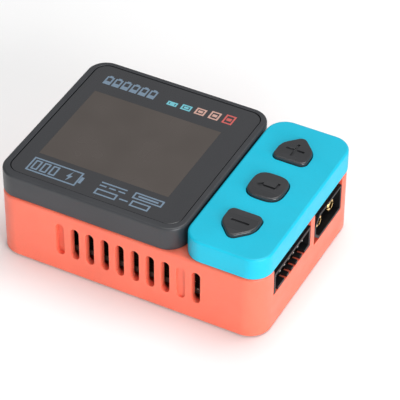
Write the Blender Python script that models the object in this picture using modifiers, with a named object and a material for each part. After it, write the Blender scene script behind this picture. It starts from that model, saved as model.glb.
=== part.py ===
"""Pocket balance charger for model battery packs.

A tray-shaped case stands on rubber feet. Its deck carries a screen housing and a button pod side by
side. A balance socket and an output socket open through the right wall, an input socket and a USB-C
port through the left wall. A fan in the floor blows air past a heat sink and out through the vents.

Units are metres. +X runs along the case towards the buttons, +Y to the back, +Z up. The origin is on
the table under the middle of the case.
"""

import math

import bmesh
import bpy
from mathutils import Matrix, Vector

MM = 0.001

# Clearances
REST_GAP = 0.3 * MM       # between two pieces that rest on each other
SIDE_GAP = 0.2 * MM       # around a piece that sits in an opening
RUNNING_GAP = 0.08 * MM   # around a turning shaft
OVERCUT = 1.0 * MM        # how far a cutter runs past the face it opens
INNER_OVERCUT = 0.1 * MM  # how far a wall's opening runs past the wall's inner face

# Case
CASE_WIDTH = 75.0 * MM
CASE_DEPTH = 53.3 * MM
CASE_HEIGHT = 18.55 * MM
CASE_CORNER = 5.8 * MM
CASE_RIM = 0.8 * MM
CASE_WALL = 2.0 * MM
DECK_THICKNESS = 1.6 * MM
SCREW_INSET = 5.0 * MM
BOSS_RADIUS = 1.7 * MM
FOOT_STAND = 0.5 * MM

# Vents
VENT_COUNT = 10
VENT_PITCH = 4.27 * MM
VENT_WIDTH = 2.4 * MM
VENT_HEIGHT = 9.9 * MM
VENT_RISE = 5.3 * MM      # from the case's lower edge
FIRST_VENT_X = -18.89 * MM
DEEP_BLIND_VENT = 0       # grooves that stop in the wall
SHALLOW_BLIND_VENT = 8
DEEP_GROOVE = 1.4 * MM
SHALLOW_GROOVE = 0.6 * MM
BACK_VENT_COUNT = 9

# Bottom cover, feet and screws
COVER_THICKNESS = 1.8 * MM
FOOT_RADIUS = 4.0 * MM
FOOT_SEAT = 0.8 * MM
FOOT_INSET = 10.5 * MM
FOOT_CHAMFER = 0.3 * MM
POST_RADIUS = 1.6 * MM
POST_INSET = 7.0 * MM
SCREW_RADIUS = 0.9 * MM
SCREW_LENGTH = 7.0 * MM
SCREW_HEAD_RADIUS = 1.75 * MM
SCREW_HEAD_HEIGHT = 0.8 * MM
SCREW_HEAD_CHAMFER = 0.3 * MM
SCREW_TAPER = 0.6 * MM
GRILLE_SLOT_WIDTH = 1.8 * MM
GRILLE_PITCH = 3.4 * MM

# Screen housing and display
TOP_OVERHANG = 0.1 * MM
TOP_FRONT_INSET = 0.5 * MM
TOP_CORNER = 5.4 * MM
TOP_SPLIT = 0.45 * MM
HOUSING_WIDTH = 52.1 * MM
HOUSING_HEIGHT = 6.35 * MM
HOUSING_RIM = 0.6 * MM
HOUSING_WALL = 1.8 * MM
GLASS_MARGIN = 1.8 * MM
GLASS_SHIFT_Y = 0.4 * MM
GLASS_CORNER = 3.6 * MM
GLASS_THICKNESS = 1.15 * MM
GLASS_SUNK = 0.15 * MM
BEZEL_THICKNESS = 1.1 * MM
LCD_WIDTH = 42.0 * MM
LCD_DEPTH = 33.0 * MM
LCD_THICKNESS = 1.4 * MM
LCD_SHIFT_X = -1.2 * MM   # from the housing's middle
BACKLIGHT_THICKNESS = 1.3 * MM
BACKLIGHT_CORNER = 0.8 * MM
RIBBON_WIDTH = 8.0 * MM
RIBBON_THICKNESS = 0.3 * MM
RIBBON_BEHIND = 1.5 * MM  # from the display's back edge to the upright run
RIBBON_RISE = 0.7 * MM    # of the upper run over the housing's base
RIBBON_REACH = 2.5 * MM   # of the upper and lower runs

# Button pod and keys
POD_HEIGHT = 6.05 * MM
POD_RIM = 0.65 * MM
POD_WALL = 1.8 * MM
POD_ROOF = 1.5 * MM
KEY_WIDTH = 9.3 * MM
KEY_LENGTH = 9.9 * MM
KEY_SHOULDER = 5.6 * MM   # length of a pointed key's straight sides
KEY_CORNER = 1.7 * MM
ENTER_GROW = 0.15 * MM    # of the square key past half a pointed key's width
KEY_PITCH = 16.1 * MM
KEY_ROW_X = -0.5 * MM     # from the pod's middle
KEY_ROW_Y = -0.2 * MM
KEY_PROUD = 0.9 * MM
KEY_RIM = 0.45 * MM
KEY_FLANGE = 0.8 * MM
KEY_FLANGE_THICKNESS = 0.6 * MM
KEY_TRAVEL = 0.4 * MM
SQUIRCLE_POWER = 3.0
SWITCH_SIZE = 6.0 * MM
SWITCH_FLOOR = 0.3 * MM
SWITCH_CORNER = 0.5 * MM
PLUNGER_RADIUS = 1.5 * MM
PLUNGER_LENGTH = 0.85 * MM
BUTTON_BOARD_THICKNESS = 1.0 * MM

# Two-pin sockets
SOCKET_WIDTH = 15.8 * MM
SOCKET_HEIGHT = 8.1 * MM
SOCKET_DEPTH = 12.5 * MM
SOCKET_WALL = 0.7 * MM
SOCKET_BACK = 2.2 * MM
SOCKET_CHAMFER = 2.6 * MM
SOCKET_RISE = 12.27 * MM  # pins' middle over the case's lower edge
SOCKET_PIN_RADIUS = 1.75 * MM
SOCKET_PIN_PITCH = 7.2 * MM
SOCKET_PIN_RECESS = 0.9 * MM
SOCKET_PIN_TAIL = 0.8 * MM    # behind the shell's back
SOCKET_PIN_SLIT = 0.5 * MM
SOCKET_PIN_SLIT_DEPTH = 5.0 * MM
OUTPUT_Y = 11.4 * MM
INPUT_Y = 10.0 * MM

# Balance socket
BALANCE_Y = -9.4 * MM
BALANCE_PINS = 7
BALANCE_PITCH = 2.5 * MM
BALANCE_END = 2.75 * MM   # from an end pin's middle to the shell's end
BALANCE_HEIGHT = 6.4 * MM
BALANCE_DEPTH = 7.0 * MM
BALANCE_WALL = 0.8 * MM
BALANCE_BACK = 1.4 * MM
BALANCE_TOP_RISE = 16.55 * MM
BALANCE_PIN = 0.64 * MM
BALANCE_PIN_RECESS = 1.0 * MM
BALANCE_PIN_BEND = 1.6 * MM   # from the shell's back to the leg's middle
BALANCE_KEY_WIDTH = 1.3 * MM
BALANCE_KEY_DEPTH = 3.5 * MM
BALANCE_KEYS = (0.5, 1.5, 2.5, 3.5, 4.5, 6.5)   # in pitches from the rearmost pin

# USB-C port
USB_Y = -9.0 * MM
USB_RISE = 9.8 * MM
USB_WIDTH = 8.94 * MM
USB_HEIGHT = 3.16 * MM
USB_DEPTH = 7.35 * MM
USB_WALL = 0.3 * MM
USB_BACK = 0.8 * MM
USB_TONGUE_WIDTH = 6.69 * MM
USB_TONGUE_THICKNESS = 0.7 * MM
USB_TONGUE_RECESS = 1.0 * MM
USB_TONGUE_CORNER = 0.5 * MM

# Main board and what stands on it
BOARD_THICKNESS = 1.6 * MM
BOARD_CORNER = 3.0 * MM
HEAT_SINK_WIDTH = 10.5 * MM
HEAT_SINK_LENGTH = 34.0 * MM
HEAT_SINK_HEIGHT = 7.5 * MM
HEAT_SINK_BASE = 1.5 * MM
HEAT_SINK_FINS = 5
HEAT_SINK_FIN = 0.9 * MM
HEAT_SINK_GAP = 2.0 * MM  # from the fan
CAN_RADIUS = 2.5 * MM
CAN_HEIGHT = 7.8 * MM
CAN_PITCH = 6.2 * MM
CAN_COUNT = 3
CAN_GAP = 0.8 * MM        # from the heat sink
CAN_RIM = 0.3 * MM
CAN_CRIMP = 1.3 * MM      # height of the crimp's middle
CAN_CRIMP_HALF = 0.3 * MM
CAN_CRIMP_DEPTH = 0.2 * MM
INDUCTOR_SIZE = 7.6 * MM
INDUCTOR_HEIGHT = 6.5 * MM
INDUCTOR_CORNER = 1.2 * MM
INDUCTOR_RIM = 0.5 * MM
INDUCTOR_GAP_X = 1.6 * MM  # from the fan
INDUCTOR_GAP_Y = 1.2 * MM  # from the front wall
CHIP_SIZE = 6.5 * MM
CHIP_HEIGHT = 1.2 * MM
CHIP_SHIFT_X = 2.0 * MM    # from the fan's middle
BUZZER_RADIUS = 3.6 * MM
BUZZER_HEIGHT = 4.5 * MM
BUZZER_HOLE_RADIUS = 0.6 * MM
BUZZER_HOLE_DEPTH = 0.5 * MM
BUZZER_SHIFT_X = 11.0 * MM  # from the fan's middle

# Fan
FAN_SIZE = 30.0 * MM
FAN_HEIGHT = 7.0 * MM
FAN_X = -6.0 * MM
FAN_Y = -1.0 * MM
FAN_CORNER = 2.5 * MM
FAN_BORE_RADIUS = 13.9 * MM
FAN_SPOKES = 3
FAN_SPOKE_WIDTH = 1.6 * MM
FAN_BASE = 1.0 * MM
FAN_SPOKE_ROOT = 0.6 * MM  # of each spoke in the frame
ROTOR_GAP = 0.4 * MM       # between the rotor and what it turns over
HUB_RADIUS = 7.0 * MM
HUB_WALL = 1.0 * MM
BLADE_COUNT = 7
BLADE_TIP_RADIUS = 13.2 * MM
BLADE_CHORD = 5.6 * MM
BLADE_THICKNESS = 0.7 * MM
BLADE_PITCH = math.radians(35.0)
SHARP_ANGLE = math.radians(35.0)
SHAFT_RADIUS = 0.75 * MM
BEARING_RADIUS = 2.0 * MM
STATOR_RADIUS = 5.4 * MM

# Levels worked out from the sizes above
CASE_BOTTOM = FOOT_STAND
DECK_TOP = CASE_BOTTOM + CASE_HEIGHT
DECK_UNDER = DECK_TOP - DECK_THICKNESS
COVER_TOP = CASE_BOTTOM + COVER_THICKNESS
TOP_BASE = DECK_TOP + REST_GAP
SOCKET_Z = CASE_BOTTOM + SOCKET_RISE
BOARD_TOP = SOCKET_Z - SOCKET_HEIGHT / 2 - REST_GAP
BOARD_UNDER = BOARD_TOP - BOARD_THICKNESS
ON_BOARD = BOARD_TOP + REST_GAP
INNER_X = CASE_WIDTH / 2 - CASE_WALL
INNER_Y = CASE_DEPTH / 2 - CASE_WALL
INNER_CORNER = CASE_CORNER - CASE_WALL
TOP_FRONT = -CASE_DEPTH / 2 + TOP_FRONT_INSET
TOP_BACK = CASE_DEPTH / 2
HOUSING_LEFT = -CASE_WIDTH / 2 - TOP_OVERHANG
HOUSING_RIGHT = HOUSING_LEFT + HOUSING_WIDTH
POD_LEFT = HOUSING_RIGHT + TOP_SPLIT
POD_RIGHT = CASE_WIDTH / 2 + TOP_OVERHANG

# Materials: colour, roughness, metallic
FINISHES = {
    "coral_plastic": ((0.93, 0.16, 0.10), 0.50, 0.0),
    "dark_housing_plastic": ((0.055, 0.06, 0.07), 0.45, 0.0),
    "blue_plastic": ((0.0, 0.52, 0.80), 0.45, 0.0),
    "key_plastic": ((0.03, 0.032, 0.036), 0.40, 0.0),
    "socket_plastic": ((0.012, 0.012, 0.013), 0.40, 0.0),
    "display_glass": ((0.04, 0.042, 0.046), 0.12, 0.0),
    "lcd_film": ((0.10, 0.085, 0.075), 0.35, 0.0),
    "white_plastic": ((0.80, 0.80, 0.78), 0.50, 0.0),
    "foot_rubber": ((0.02, 0.02, 0.02), 0.85, 0.0),
    "gold_contact": ((0.83, 0.61, 0.22), 0.25, 1.0),
    "tin_contact": ((0.80, 0.79, 0.76), 0.30, 1.0),
    "steel": ((0.55, 0.55, 0.56), 0.35, 1.0),
    "aluminium": ((0.75, 0.76, 0.78), 0.40, 1.0),
    "board_laminate": ((0.012, 0.03, 0.02), 0.45, 0.0),
    "ferrite": ((0.09, 0.09, 0.10), 0.70, 0.0),
    "ribbon_film": ((0.45, 0.22, 0.04), 0.40, 0.0),
    "copper_winding": ((0.60, 0.25, 0.12), 0.35, 1.0),
}

STAND_ALONG_X = Matrix(((0, 0, 1), (1, 0, 0), (0, 1, 0))).to_4x4()   # outline's x, y become Y, Z
STAND_ALONG_Y = Matrix.Rotation(math.radians(90.0), 4, "X")          # outline's x, y become X, Z


def clear_scene():
    """Remove whatever the open file holds."""
    for thing in list(bpy.data.objects):
        bpy.data.objects.remove(thing, do_unlink=True)


def new_collection(name):
    """Return a new collection linked to the scene."""
    collection = bpy.data.collections.new(name)
    bpy.context.scene.collection.children.link(collection)
    return collection


def finish_material(name):
    """Return the Principled material of one entry of FINISHES."""
    found = bpy.data.materials.get(name)
    if found:
        return found
    colour, roughness, metallic = FINISHES[name]
    made = bpy.data.materials.new(name)
    made.use_nodes = True
    shader = made.node_tree.nodes["Principled BSDF"]
    shader.inputs["Base Color"].default_value = (*colour, 1.0)
    shader.inputs["Roughness"].default_value = roughness
    shader.inputs["Metallic"].default_value = metallic
    made.diffuse_color = (*colour, 1.0)
    return made


def to_mesh(bm, name):
    """Turn a bmesh into mesh data with smooth faces and sharp corners, and free it."""
    mesh = bpy.data.meshes.new(name)
    bm.to_mesh(mesh)
    bm.free()
    mesh.shade_smooth()
    mesh.set_sharp_from_angle(angle=SHARP_ANGLE)
    return mesh


def along(edge, axis):
    """Tell whether an edge runs along one axis."""
    direction = (edge.verts[1].co - edge.verts[0].co).normalized()
    return abs(direction[axis]) > 0.999


def round_edges(bm, edges, size, steps):
    """Round the edges given with an arc of that many steps."""
    bmesh.ops.bevel(bm, geom=edges, offset=size, offset_type="OFFSET", segments=steps,
                    profile=0.5, affect="EDGES", material=-1, clamp_overlap=True)


def round_upper_rim(bm, size, steps=2):
    """Round the edges between the top face and the sides."""
    top = max(vert.co.z for vert in bm.verts)
    rim = [edge for edge in bm.edges
           if all(abs(vert.co.z - top) < 0.01 * MM for vert in edge.verts)
           and any(abs(face.normal.z) < 0.5 for face in edge.link_faces)]
    round_edges(bm, rim, size, steps)


def box_mesh(name, boxes, corner=0.0, axis=2, rim=0.0, steps=5):
    """Closed boxes, each a (low, high) pair, with rounded edges along one axis and a rounded top."""
    bm = bmesh.new()
    for low, high in boxes:
        size = Vector(high) - Vector(low)
        middle = (Vector(high) + Vector(low)) / 2
        place = Matrix.Translation(middle) @ Matrix.Diagonal((*size, 1.0))
        bmesh.ops.create_cube(bm, size=1.0, matrix=place)
    if corner > 0.0:
        round_edges(bm, [edge for edge in bm.edges if along(edge, axis)], corner, steps)
    if rim > 0.0:
        bm.normal_update()
        round_upper_rim(bm, rim)
    return to_mesh(bm, name)


def rod_mesh(name, centres, radius, low, high, axis=2, steps=24):
    """Closed cylinders along X (0) or Z (2), at centres given on the other two axes in order."""
    turn = Matrix.Rotation(math.radians(90.0), 4, "Y") if axis == 0 else Matrix.Identity(4)
    bm = bmesh.new()
    for first, second in centres:
        place = [first, second]
        place.insert(axis, (low + high) / 2)
        bmesh.ops.create_cone(bm, cap_ends=True, cap_tris=False, segments=steps, radius1=radius,
                              radius2=radius, depth=high - low,
                              matrix=Matrix.Translation(place) @ turn)
    return to_mesh(bm, name)


def outline_mesh(name, points, low, high, stand=None, rim=0.0):
    """A flat outline given thickness from low to high, then stood up by a matrix."""
    curve = bpy.data.curves.new(name, "CURVE")
    curve.dimensions = "2D"
    curve.fill_mode = "BOTH"
    curve.extrude = (high - low) / 2
    spline = curve.splines.new("POLY")
    spline.points.add(len(points) - 1)
    for target, (x, y) in zip(spline.points, points):
        target.co = (x, y, 0.0, 1.0)
    spline.use_cyclic_u = True
    guide = bpy.data.objects.new(name, curve)
    bpy.context.scene.collection.objects.link(guide)
    evaluated = guide.evaluated_get(bpy.context.evaluated_depsgraph_get())
    flat = bpy.data.meshes.new_from_object(evaluated)
    bpy.data.objects.remove(guide, do_unlink=True)
    bpy.data.curves.remove(curve)
    bm = bmesh.new()
    bm.from_mesh(flat)
    bpy.data.meshes.remove(flat)
    bmesh.ops.remove_doubles(bm, verts=bm.verts, dist=0.001 * MM)
    bmesh.ops.dissolve_limit(bm, angle_limit=math.radians(0.5), verts=bm.verts, edges=bm.edges)
    bmesh.ops.recalc_face_normals(bm, faces=bm.faces)
    bmesh.ops.translate(bm, verts=bm.verts, vec=(0.0, 0.0, (low + high) / 2))
    if rim > 0.0:
        bm.normal_update()
        round_upper_rim(bm, rim)
    if stand:
        bmesh.ops.transform(bm, matrix=stand, verts=bm.verts)
    return to_mesh(bm, name)


def turned_object(name, profile, steps):
    """A solid of revolution about Z: a profile at +X, run from the top down its outer side."""
    bm = bmesh.new()
    verts = [bm.verts.new((radius, 0.0, height)) for radius, height in profile]
    for first, second in zip(verts, verts[1:]):
        bm.edges.new((first, second))
    turned = bpy.data.objects.new(name, to_mesh(bm, name))
    screw = turned.modifiers.new("turn", "SCREW")
    screw.axis = "Z"
    screw.angle = math.radians(360.0)
    screw.steps = steps
    screw.render_steps = steps
    screw.use_merge_vertices = True
    screw.merge_threshold = 0.01 * MM
    screw.use_smooth_shade = True
    return turned


def add_piece(name, mesh, finish, place=(0.0, 0.0, 0.0)):
    """Place one sub-part with its material."""
    piece = mesh if isinstance(mesh, bpy.types.Object) else bpy.data.objects.new(name, mesh)
    if not piece.data.materials:
        piece.data.materials.append(finish_material(finish))
    piece.location = place
    PIECES.objects.link(piece)
    return piece


def add_tool(name, mesh, place=(0.0, 0.0, 0.0)):
    """Place a shape that is only cut from, or added to, a piece."""
    tool = mesh if isinstance(mesh, bpy.types.Object) else bpy.data.objects.new(name, mesh)
    tool.location = place
    tool.hide_render = True
    tool.display_type = "WIRE"
    TOOLS.objects.link(tool)
    return tool


def combine(piece, tool, operation):
    """Cut a tool from a piece (DIFFERENCE) or add it (UNION)."""
    modifier = piece.modifiers.new(tool.name, "BOOLEAN")
    modifier.object = tool
    modifier.operation = operation
    modifier.solver = "EXACT"


def cut(piece, name, mesh, place=(0.0, 0.0, 0.0)):
    """Cut a mesh from a piece."""
    combine(piece, add_tool(name, mesh, place), "DIFFERENCE")


def fuse(piece, name, mesh, place=(0.0, 0.0, 0.0)):
    """Add a mesh to a piece."""
    combine(piece, add_tool(name, mesh, place), "UNION")


def corners(x, y):
    """The four places mirrored about the case's middle."""
    return [(-x, -y), (x, -y), (x, y), (-x, y)]


def rounded_outline(points, radius, steps=4):
    """Round each corner of a convex outline, given anticlockwise, with an arc."""
    result = []
    for index, corner in enumerate(points):
        here = Vector(corner)
        before = (Vector(points[index - 1]) - here).normalized()
        after = (Vector(points[(index + 1) % len(points)]) - here).normalized()
        half_angle = before.angle(after) / 2
        centre = here + (before + after).normalized() * radius / math.sin(half_angle)
        start = here + before * radius / math.tan(half_angle) - centre
        sweep = math.pi - 2 * half_angle
        for step in range(steps + 1):
            result.append(tuple(centre + Matrix.Rotation(sweep * step / steps, 2) @ start))
    return result


def squircle_outline(half, count=24):
    """A rounded square: a superellipse about the origin."""
    points = []
    for index in range(count):
        angle = 2 * math.pi * index / count
        cosine, sine = math.cos(angle), math.sin(angle)
        reach = (abs(cosine) ** SQUIRCLE_POWER + abs(sine) ** SQUIRCLE_POWER) ** (-1.0 / SQUIRCLE_POWER)
        points.append((half * reach * cosine, half * reach * sine))
    return points


def pointed_outline(grow, heading):
    """A rounded house shape grown outwards by grow, its point to the back (1) or the front (-1)."""
    half = KEY_WIDTH / 2 + grow
    base = -KEY_LENGTH / 2 - grow
    shoulder = base + KEY_SHOULDER + grow
    tip = KEY_LENGTH / 2 + grow + KEY_CORNER * 0.25
    house = [(-half, base), (half, base), (half, shoulder), (0.0, tip), (-half, shoulder)]
    turn = Matrix.Rotation(0.0 if heading > 0 else math.pi, 2)
    return rounded_outline([tuple(turn @ Vector(point)) for point in house], KEY_CORNER + grow)


def key_outline(kind, grow):
    """The outline of one key, grown outwards by grow."""
    if kind == "enter":
        return squircle_outline(KEY_WIDTH / 2 + ENTER_GROW + grow)
    return pointed_outline(grow, 1 if kind == "plus" else -1)


def vent_boxes(count, first_x, wall_y, depth):
    """Boxes for a row of upright slots that run in from the face of a wall."""
    inward = -math.copysign(depth, wall_y)
    outward = math.copysign(OVERCUT, wall_y)
    ends = sorted((wall_y + inward, wall_y + outward))
    low_z = CASE_BOTTOM + VENT_RISE
    return [((first_x + index * VENT_PITCH - VENT_WIDTH / 2, ends[0], low_z),
             (first_x + index * VENT_PITCH + VENT_WIDTH / 2, ends[1], low_z + VENT_HEIGHT))
            for index in range(count)]


def build_case_shell():
    """Walls and deck in one piece, with screw bosses, vents and the openings for the ports."""
    half_x, half_y = CASE_WIDTH / 2, CASE_DEPTH / 2
    shell = add_piece("case_shell", box_mesh(
        "case_shell", [((-half_x, -half_y, CASE_BOTTOM), (half_x, half_y, DECK_TOP))],
        corner=CASE_CORNER, rim=CASE_RIM, steps=7), "coral_plastic")
    cut(shell, "case_hollow", box_mesh(
        "case_hollow", [((-INNER_X, -INNER_Y, CASE_BOTTOM - OVERCUT), (INNER_X, INNER_Y, DECK_UNDER))],
        corner=INNER_CORNER))
    places = screw_places()
    fuse(shell, "screw_bosses", rod_mesh(
        "screw_bosses", places, BOSS_RADIUS, COVER_TOP + REST_GAP, DECK_UNDER + DECK_THICKNESS / 2,
        steps=16))
    cut(shell, "screw_pilots", rod_mesh(
        "screw_pilots", places, SCREW_RADIUS + SIDE_GAP / 2, CASE_BOTTOM - OVERCUT,
        CASE_BOTTOM + SCREW_LENGTH + REST_GAP, steps=12))
    cut_vents(shell)
    cut_ports(shell)
    half_slot = RIBBON_WIDTH / 2 + REST_GAP
    cut(shell, "ribbon_slot", box_mesh("ribbon_slot", [
        ((ribbon_x() - half_slot, ribbon_y() - RIBBON_THICKNESS, DECK_UNDER - OVERCUT),
         (ribbon_x() + half_slot, ribbon_y() + 2 * RIBBON_THICKNESS, DECK_TOP + OVERCUT))]))


def cut_vents(shell):
    """Cut the slots of the front and back walls, and the two front grooves that stop in the wall."""
    wall_y = CASE_DEPTH / 2
    blind = (DEEP_BLIND_VENT, SHALLOW_BLIND_VENT)
    front = vent_boxes(VENT_COUNT, FIRST_VENT_X, -wall_y, CASE_WALL + OVERCUT)
    through = [box for index, box in enumerate(front) if index not in blind]
    back_first = -(BACK_VENT_COUNT - 1) * VENT_PITCH / 2
    through += vent_boxes(BACK_VENT_COUNT, back_first, wall_y, CASE_WALL + OVERCUT)
    round_end = VENT_WIDTH * 0.49
    cut(shell, "vents", box_mesh("vents", through, corner=round_end, axis=1, steps=4))
    grooves = [vent_boxes(VENT_COUNT, FIRST_VENT_X, -wall_y, DEEP_GROOVE)[DEEP_BLIND_VENT],
               vent_boxes(VENT_COUNT, FIRST_VENT_X, -wall_y, SHALLOW_GROOVE)[SHALLOW_BLIND_VENT]]
    cut(shell, "blind_vents", box_mesh("blind_vents", grooves, corner=round_end, axis=1, steps=4))


def cut_ports(shell):
    """Cut the openings for the two sockets of the right wall and the two ports of the left wall."""
    outer = CASE_WIDTH / 2 + OVERCUT
    inner = INNER_X - INNER_OVERCUT
    top = DECK_TOP + OVERCUT
    half_output = SOCKET_WIDTH / 2 + SIDE_GAP
    half_balance = balance_length() / 2 + SIDE_GAP
    cut(shell, "right_openings", box_mesh("right_openings", [
        ((inner, OUTPUT_Y - half_output, SOCKET_Z - SOCKET_HEIGHT / 2 - SIDE_GAP),
         (outer, OUTPUT_Y + half_output, top)),
        ((inner, BALANCE_Y - half_balance, balance_low() - SIDE_GAP),
         (outer, BALANCE_Y + half_balance, top))]))
    cut(shell, "input_opening", outline_mesh(
        "input_opening", socket_outline(SIDE_GAP), -outer, -inner, STAND_ALONG_X), (0.0, INPUT_Y, SOCKET_Z))
    cut(shell, "usb_opening", usb_mesh("usb_opening", SIDE_GAP, -outer, -inner))


def build_bottom_cover():
    """The floor that closes the case, with board posts, foot seats, screw holes and a fan grille."""
    reach_x, reach_y = INNER_X - SIDE_GAP, INNER_Y - SIDE_GAP
    cover = add_piece("bottom_cover", box_mesh(
        "bottom_cover", [((-reach_x, -reach_y, CASE_BOTTOM), (reach_x, reach_y, COVER_TOP))],
        corner=INNER_CORNER - SIDE_GAP), "coral_plastic")
    fuse(cover, "board_posts", rod_mesh(
        "board_posts", corners(INNER_X - POST_INSET, INNER_Y - POST_INSET), POST_RADIUS,
        COVER_TOP - COVER_THICKNESS / 2, BOARD_UNDER - REST_GAP, steps=12))
    cut(cover, "foot_seats", rod_mesh(
        "foot_seats", foot_places(), FOOT_RADIUS + SIDE_GAP, CASE_BOTTOM - OVERCUT,
        CASE_BOTTOM + FOOT_SEAT, steps=24))
    places = screw_places()
    cut(cover, "screw_ways", rod_mesh(
        "screw_ways", places, SCREW_RADIUS + SIDE_GAP, CASE_BOTTOM - OVERCUT, COVER_TOP + OVERCUT,
        steps=12))
    cut(cover, "head_seats", rod_mesh(
        "head_seats", places, SCREW_HEAD_RADIUS + SIDE_GAP, CASE_BOTTOM - OVERCUT,
        CASE_BOTTOM + SCREW_HEAD_HEIGHT + REST_GAP, steps=16))
    count = int((FAN_BORE_RADIUS - GRILLE_SLOT_WIDTH) / GRILLE_PITCH)
    slots = []
    for index in range(-count, count + 1):
        offset = index * GRILLE_PITCH
        half = math.sqrt(FAN_BORE_RADIUS ** 2 - offset ** 2) - GRILLE_SLOT_WIDTH / 2
        slots.append(((FAN_X + offset - GRILLE_SLOT_WIDTH / 2, FAN_Y - half, CASE_BOTTOM - OVERCUT),
                      (FAN_X + offset + GRILLE_SLOT_WIDTH / 2, FAN_Y + half, COVER_TOP + OVERCUT)))
    cut(cover, "grille_slots", box_mesh("grille_slots", slots, corner=GRILLE_SLOT_WIDTH * 0.49, steps=3))


def screw_places():
    """Where the case screws stand."""
    return corners(CASE_WIDTH / 2 - SCREW_INSET, CASE_DEPTH / 2 - SCREW_INSET)


def foot_places():
    """Where the feet stand."""
    return corners(CASE_WIDTH / 2 - FOOT_INSET, CASE_DEPTH / 2 - FOOT_INSET)


def build_feet_and_screws():
    """Four feet and four pan-head screws, all turned shapes."""
    thickness = FOOT_STAND + FOOT_SEAT - REST_GAP
    for number, (x, y) in enumerate(foot_places(), start=1):
        profile = [(0.0, thickness), (FOOT_RADIUS, thickness), (FOOT_RADIUS, FOOT_CHAMFER),
                   (FOOT_RADIUS - FOOT_CHAMFER, 0.0), (0.0, 0.0)]
        add_piece(f"rubber_foot_{number}", turned_object(f"rubber_foot_{number}", profile, 24),
                  "foot_rubber", (x, y, 0.0))
    head_top = SCREW_HEAD_HEIGHT
    for number, (x, y) in enumerate(screw_places(), start=1):
        profile = [(0.0, SCREW_LENGTH), (SCREW_RADIUS * 0.6, SCREW_LENGTH),
                   (SCREW_RADIUS, SCREW_LENGTH - SCREW_TAPER), (SCREW_RADIUS, head_top),
                   (SCREW_HEAD_RADIUS, head_top), (SCREW_HEAD_RADIUS, SCREW_HEAD_CHAMFER),
                   (SCREW_HEAD_RADIUS - SCREW_HEAD_CHAMFER, 0.0), (0.0, 0.0)]
        add_piece(f"case_screw_{number}", turned_object(f"case_screw_{number}", profile, 12),
                  "steel", (x, y, CASE_BOTTOM))


def housing_middle():
    """The middle of the screen housing in plan."""
    return (HOUSING_LEFT + HOUSING_RIGHT) / 2, (TOP_FRONT + TOP_BACK) / 2


def housing_box(margin, low, high, shift_y=0.0):
    """A box at that margin from the housing's sides, moved towards the back by shift_y."""
    return ((HOUSING_LEFT + margin, TOP_FRONT + margin + shift_y, low),
            (HOUSING_RIGHT - margin, TOP_BACK - margin + shift_y, high))


def build_screen():
    """Screen housing, glass, LCD panel and backlight tray."""
    top = TOP_BASE + HOUSING_HEIGHT
    pocket_floor = top - GLASS_SUNK - GLASS_THICKNESS - REST_GAP
    housing = add_piece("screen_housing", box_mesh(
        "screen_housing", [((HOUSING_LEFT, TOP_FRONT, TOP_BASE), (HOUSING_RIGHT, TOP_BACK, top))],
        corner=TOP_CORNER, rim=HOUSING_RIM, steps=7), "dark_housing_plastic")
    cut(housing, "housing_hollow", box_mesh(
        "housing_hollow", [housing_box(HOUSING_WALL, TOP_BASE - OVERCUT, pocket_floor - BEZEL_THICKNESS)],
        corner=TOP_CORNER - HOUSING_WALL))
    cut(housing, "glass_pocket", box_mesh(
        "glass_pocket", [housing_box(GLASS_MARGIN, pocket_floor, top + OVERCUT, GLASS_SHIFT_Y)],
        corner=GLASS_CORNER))
    middle_x, middle_y = housing_middle()
    screen_x = middle_x + LCD_SHIFT_X
    half_x, half_y = LCD_WIDTH / 2, LCD_DEPTH / 2
    window_x, window_y = half_x + REST_GAP, half_y + REST_GAP
    bezel_low = pocket_floor - BEZEL_THICKNESS
    cut(housing, "lcd_window", box_mesh("lcd_window", [
        ((screen_x - window_x, middle_y - window_y, bezel_low - OVERCUT),
         (screen_x + window_x, middle_y + window_y, pocket_floor + OVERCUT))]))
    glass_low = top - GLASS_SUNK - GLASS_THICKNESS
    add_piece("display_glass", box_mesh(
        "display_glass", [housing_box(
            GLASS_MARGIN + SIDE_GAP, glass_low, glass_low + GLASS_THICKNESS, GLASS_SHIFT_Y)],
        corner=GLASS_CORNER - SIDE_GAP), "display_glass")
    lcd_top = glass_low - REST_GAP
    lcd_low = lcd_top - LCD_THICKNESS
    add_piece("lcd_panel", box_mesh("lcd_panel", [
        ((screen_x - half_x, middle_y - half_y, lcd_low), (screen_x + half_x, middle_y + half_y, lcd_top))]),
        "lcd_film")
    tray_top = min(lcd_low, bezel_low) - REST_GAP
    add_piece("backlight_tray", box_mesh("backlight_tray", [
        ((screen_x - half_x, middle_y - half_y, tray_top - BACKLIGHT_THICKNESS),
         (screen_x + half_x, middle_y + half_y, tray_top))], corner=BACKLIGHT_CORNER, steps=2),
        "white_plastic")


def ribbon_x():
    """The ribbon cable's middle along X."""
    return housing_middle()[0] + LCD_SHIFT_X


def ribbon_y():
    """The ribbon cable's upright run along Y, just behind the backlight tray."""
    return housing_middle()[1] + LCD_DEPTH / 2 + RIBBON_BEHIND


def build_ribbon():
    """The flat cable from the display down through the deck to the main board."""
    upper, lower = TOP_BASE + RIBBON_RISE, ON_BOARD
    reach, thick = RIBBON_REACH, RIBBON_THICKNESS
    path = [(-reach, upper), (0.0, upper), (0.0, lower), (reach, lower), (reach, lower + thick),
            (thick, lower + thick), (thick, upper + thick), (-reach, upper + thick)]
    add_piece("display_ribbon", outline_mesh(
        "display_ribbon", path, -RIBBON_WIDTH / 2, RIBBON_WIDTH / 2, STAND_ALONG_X), "ribbon_film",
        (ribbon_x(), ribbon_y(), 0.0))


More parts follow.
